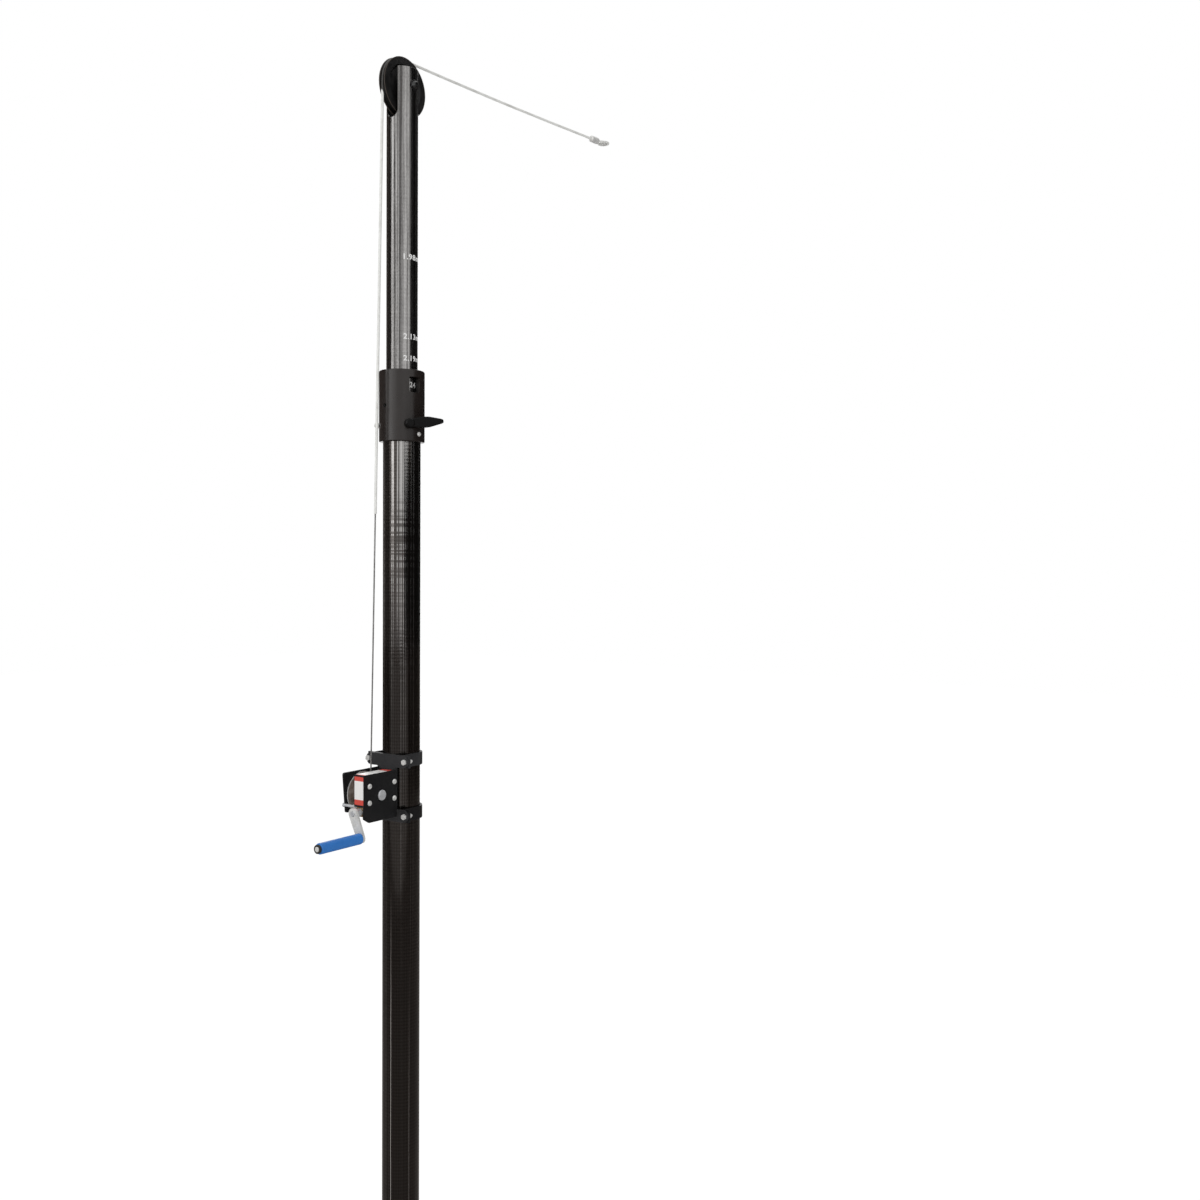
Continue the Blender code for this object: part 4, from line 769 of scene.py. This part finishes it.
def make_decals():
    low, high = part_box("gear_cover")
    right_y, left_y = low.y + SIDE_MARGIN, high.y - SIDE_MARGIN
    front_low = Vector((low.x - DECAL_LIFT - DECAL_THICK, right_y, FRONT_DECAL_FOOT))
    front_high = Vector((low.x - DECAL_LIFT, left_y, high.z - EDGE_MARGIN))
    print_front = label_finish("front_decal_print", Z, front_low.z, front_high.z, FRONT_RED_ENDS)
    front = thin_plate("front_decal", front_low, front_high, X, print_front)
    top_low = Vector((low.x + EDGE_MARGIN, right_y, high.z + DECAL_LIFT))
    top_high = Vector((low.x + TOP_DECAL_REACH, left_y, high.z + DECAL_LIFT + DECAL_THICK))
    print_top = label_finish("top_decal_print", X, top_low.x, top_high.x, TOP_RED_ENDS)
    top = thin_plate("top_decal", top_low, top_high, Z, print_top)
    for piece in (front, top):
        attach(piece, "post")


# The carried-over nodes, with angles in degrees
REJOIN_DISTANCE = 0.000002
SMOOTH_BELOW = 33
FLAT_BELOW = 0.6
ROUND_ABOVE = 34
EDGE_SEGMENTS = 2
SMALL_EDGE = 0.00025
EDGE_ROUNDING = {
    "gear_cover": 0.0008,
    "winch_frame": 0.0007,
    "winch_mount_plate": 0.0008,
    "upper_strap": 0.0007,
    "lower_strap": 0.0007,
    "crank_arm": 0.0006,
    "collar": 0.0005,
    "clamp_lever": 0.0005,
}


def rejoin_group():
    """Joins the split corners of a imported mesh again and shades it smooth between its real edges."""
    group = bpy.data.node_groups.new("rejoin_corners", "GeometryNodeTree")
    for way in ("INPUT", "OUTPUT"):
        group.interface.new_socket("Geometry", in_out=way, socket_type="NodeSocketGeometry")
    plan = Paint(group)
    mesh = plan.node("NodeGroupInput")
    mesh = plan.node("GeometryNodeRemoveAttribute", {}, {"Geometry": mesh, "Name": "custom_normal"})
    mesh = plan.node("GeometryNodeMergeByDistance", {}, {"Geometry": mesh, "Distance": REJOIN_DISTANCE})
    mesh = plan.node("GeometryNodeSetShadeSmooth", {}, {"Geometry": mesh})
    angle = plan.node("GeometryNodeInputMeshEdgeAngle", output="Unsigned Angle")
    gentle = plan.node("FunctionNodeCompare", {"operation": "LESS_THAN"}, (angle, math.radians(SMOOTH_BELOW)))
    edges = {"Geometry": mesh, "Shade Smooth": gentle}
    mesh = plan.node("GeometryNodeSetShadeSmooth", {"domain": "EDGE"}, edges)
    plan.node("NodeGroupOutput", {}, (mesh,))
    return group


def modify(node, name, kind, **settings):
    made = node.modifiers.new(name, kind)
    for setting, value in settings.items():
        setattr(made, setting, value)


def dress_nodes(look):
    """Every node that still shows gets its finish, smooth faces and slightly rounded edges."""
    rejoin = rejoin_group()
    special = special_finishes(look)
    for name, node in nodes.items():
        if node.hide_render:
            continue
        slot = node.material_slots[0].material.name
        node.material_slots[0].material = special.get(name, look[slot])
        modify(node, "rejoin", "NODES", node_group=rejoin)
        modify(node, "flats", "DECIMATE", decimate_type="DISSOLVE", angle_limit=math.radians(FLAT_BELOW))
        modify(
            node,
            "edges",
            "BEVEL",
            width=EDGE_ROUNDING.get(name, SMALL_EDGE),
            segments=EDGE_SEGMENTS,
            limit_method="ANGLE",
            angle_limit=math.radians(ROUND_ABOVE),
        )
        modify(node, "faces", "WEIGHTED_NORMAL", keep_sharp=True)


# Stage: rings of soft lights, and of cloth cards behind them. Bearings are in degrees round the post: 0 is towards
# the camera, and a plus angle goes to the picture's right.
LIGHT_REACH = 2.45
LIGHT_START = -84
LIGHT_END = 60
POST_LIGHT_START = -74
MAST_LIGHT_FOOT = 2.12
MAST_LIGHT = (MAST_LIGHT_FOOT, 3.9)
CARD_REACH = 2.7
CARD_TOP = 4.2
CARD_STEPS = 24
WAIST_CARD_TOP = 1.22
WAIST_CARD_FOOT = 0.62
FLOOR_CARD_START = 0.046
FLOOR_CARD_HEIGHT = 0.004
ROOM_LIGHT = 0.75
FLOOR_GLOW = 1.1
FLOOR_GLOW_SHARE = 0.86
FLOOR_SIZE = 14
FLOOR_DROP = 0.0005

# Each soft light: the bearings and the heights that it fills, and its radiance
SOFTBOXES = (
    ("softbox_left", (LIGHT_START, -58), MAST_LIGHT, 1.5),
    ("softbox_middle", (-58, -30), MAST_LIGHT, 0.9),
    ("softbox_right", (5, 52), MAST_LIGHT, 0.35),
    ("softbox_post", (POST_LIGHT_START, -46), (1.55, MAST_LIGHT_FOOT), 1.8),
    ("softbox_low", (POST_LIGHT_START, 40), (0.55, 1.25), 0.3),
    ("softbox_back", (168, 192), (0.6, 3.4), 1.6),
)

# Each standing card: the bearings and the heights that it fills, and its cloth
CARDS = (
    ("card_left", (-180, LIGHT_START), (MAST_LIGHT_FOOT, CARD_TOP), "brown"),
    ("card_right", (LIGHT_END, 180), (WAIST_CARD_TOP, CARD_TOP), "black"),
    ("card_post_left", (-180, POST_LIGHT_START), (WAIST_CARD_TOP, MAST_LIGHT_FOOT), "tan"),
    ("card_post_right", (18, LIGHT_END), (WAIST_CARD_TOP, 2.05), "black"),
    ("card_waist", (-180, 180), (WAIST_CARD_FOOT, WAIST_CARD_TOP), "brown"),
    ("card_low", (-180, 180), (0.0, WAIST_CARD_FOOT), "tan"),
)


def bearing(degrees):
    """A level direction from the post."""
    angle = math.radians(degrees)
    return math.sin(angle) * ACROSS - math.cos(angle) * AHEAD


def softbox(name, bearings, heights, radiance):
    """A flat light whose upright edges stand on the ring of lights, and which the camera doesn't see."""
    (start, end), (low, high) = bearings, heights
    half = math.radians(end - start) / 2
    width, tall = 2 * LIGHT_REACH * math.sin(half), high - low
    data = bpy.data.lights.new(name, "AREA")
    data.shape = "RECTANGLE"
    data.size = width
    data.size_y = tall
    data.energy = radiance * math.pi * width * tall
    lamp = bpy.data.objects.new(name, data)
    bpy.context.scene.collection.objects.link(lamp)
    out = bearing((start + end) / 2)
    lamp.location = out * LIGHT_REACH * math.cos(half) + UP * (low + high) / 2
    lamp.rotation_euler = out.to_track_quat("Z", "Y").to_euler()
    lamp.visible_camera = False


def card(name, bearings, edges, finish):
    """A card that keeps stray light off the glossy tubes, bent round the post: only reflections show it.

    Its two edges are pairs of reach and height."""
    start, end = bearings
    bm = bmesh.new()
    columns = []
    for step in range(CARD_STEPS + 1):
        out = bearing(start + (end - start) * step / CARD_STEPS)
        columns.append([bm.verts.new(out * reach + UP * height) for reach, height in edges])
    for (a, b), (c, d) in zip(columns, columns[1:]):
        bm.faces.new((a, c, d, b))
    made = add_mesh(name, bm, finish)
    made.visible_camera = False
    made.visible_diffuse = False
    made.visible_shadow = False


def direct_share(paint):
    """1 for camera, glossy and transmission rays, and 0 for the others."""
    kinds = ("Is Camera Ray", "Is Glossy Ray", "Is Transmission Ray")
    camera, glossy, clear = (paint.node("LightPath", output=kind) for kind in kinds)
    return paint.math("MAXIMUM", paint.math("MAXIMUM", camera, glossy), clear)


def make_floor():
    """A pale floor that keeps the post's shadow, and shows to the camera and in reflections as nearly white."""
    paint = Finish("pale_floor", Roughness=0.9)
    paint.give(Base_Color=paint.mix(paint.noise(3, detail=3.0), (0.80, 0.80, 0.80), (0.84, 0.84, 0.84)))
    glow = paint.node("Emission", {}, {"Color": (1, 1, 1), "Strength": FLOOR_GLOW})
    shader = Wire(paint, paint.shader.outputs[0])
    mixed = paint.node("MixShader", {}, (FLOOR_GLOW_SHARE * direct_share(paint), shader, glow))
    paint.feed(paint.tree.nodes["Material Output"].inputs["Surface"], mixed)
    bm = bmesh.new()
    bmesh.ops.create_grid(bm, x_segments=8, y_segments=8, size=FLOOR_SIZE)
    floor = add_mesh("floor", bm, paint.material)
    floor.location.z = -FLOOR_DROP


def cloth_finish(name, dark, light):
    """Dull cloth for the cards, with a faint grain."""
    paint = Finish(name, Roughness=1.0)
    paint.give(Base_Color=paint.mix(paint.noise(300), dark, light))
    return paint.material


def make_cards():
    cloths = {
        "black": cloth_finish("black_cloth", (0.012, 0.012, 0.012), (0.020, 0.019, 0.019)),
        "brown": cloth_finish("brown_cloth", (0.060, 0.048, 0.042), (0.080, 0.064, 0.056)),
        "tan": cloth_finish("tan_cloth", (0.182, 0.165, 0.154), (0.236, 0.214, 0.200)),
    }
    for name, bearings, heights, cloth in CARDS:
        card(name, bearings, [(CARD_REACH, height) for height in heights], cloths[cloth])
    floor_edges = [(reach, FLOOR_CARD_HEIGHT) for reach in (FLOOR_CARD_START, CARD_REACH)]
    card("card_floor", (-180, 180), floor_edges, cloths["tan"])


def make_stage():
    scene = bpy.context.scene
    scene.view_settings.view_transform = "Standard"
    scene.world = bpy.data.worlds.new("studio")
    scene.world.use_nodes = True
    air = Paint(scene.world.node_tree)
    background = air.tree.nodes["Background"]
    air.feed(background.inputs["Color"], (1, 1, 1))
    air.feed(background.inputs["Strength"], ROOM_LIGHT + (1 - ROOM_LIGHT) * direct_share(air))
    make_floor()
    make_cards()
    for facts in SOFTBOXES:
        softbox(*facts)


make_camera()
look = make_finishes()
make_cable(look)
dress_nodes(look)
make_marks()
make_decals()
make_stage()
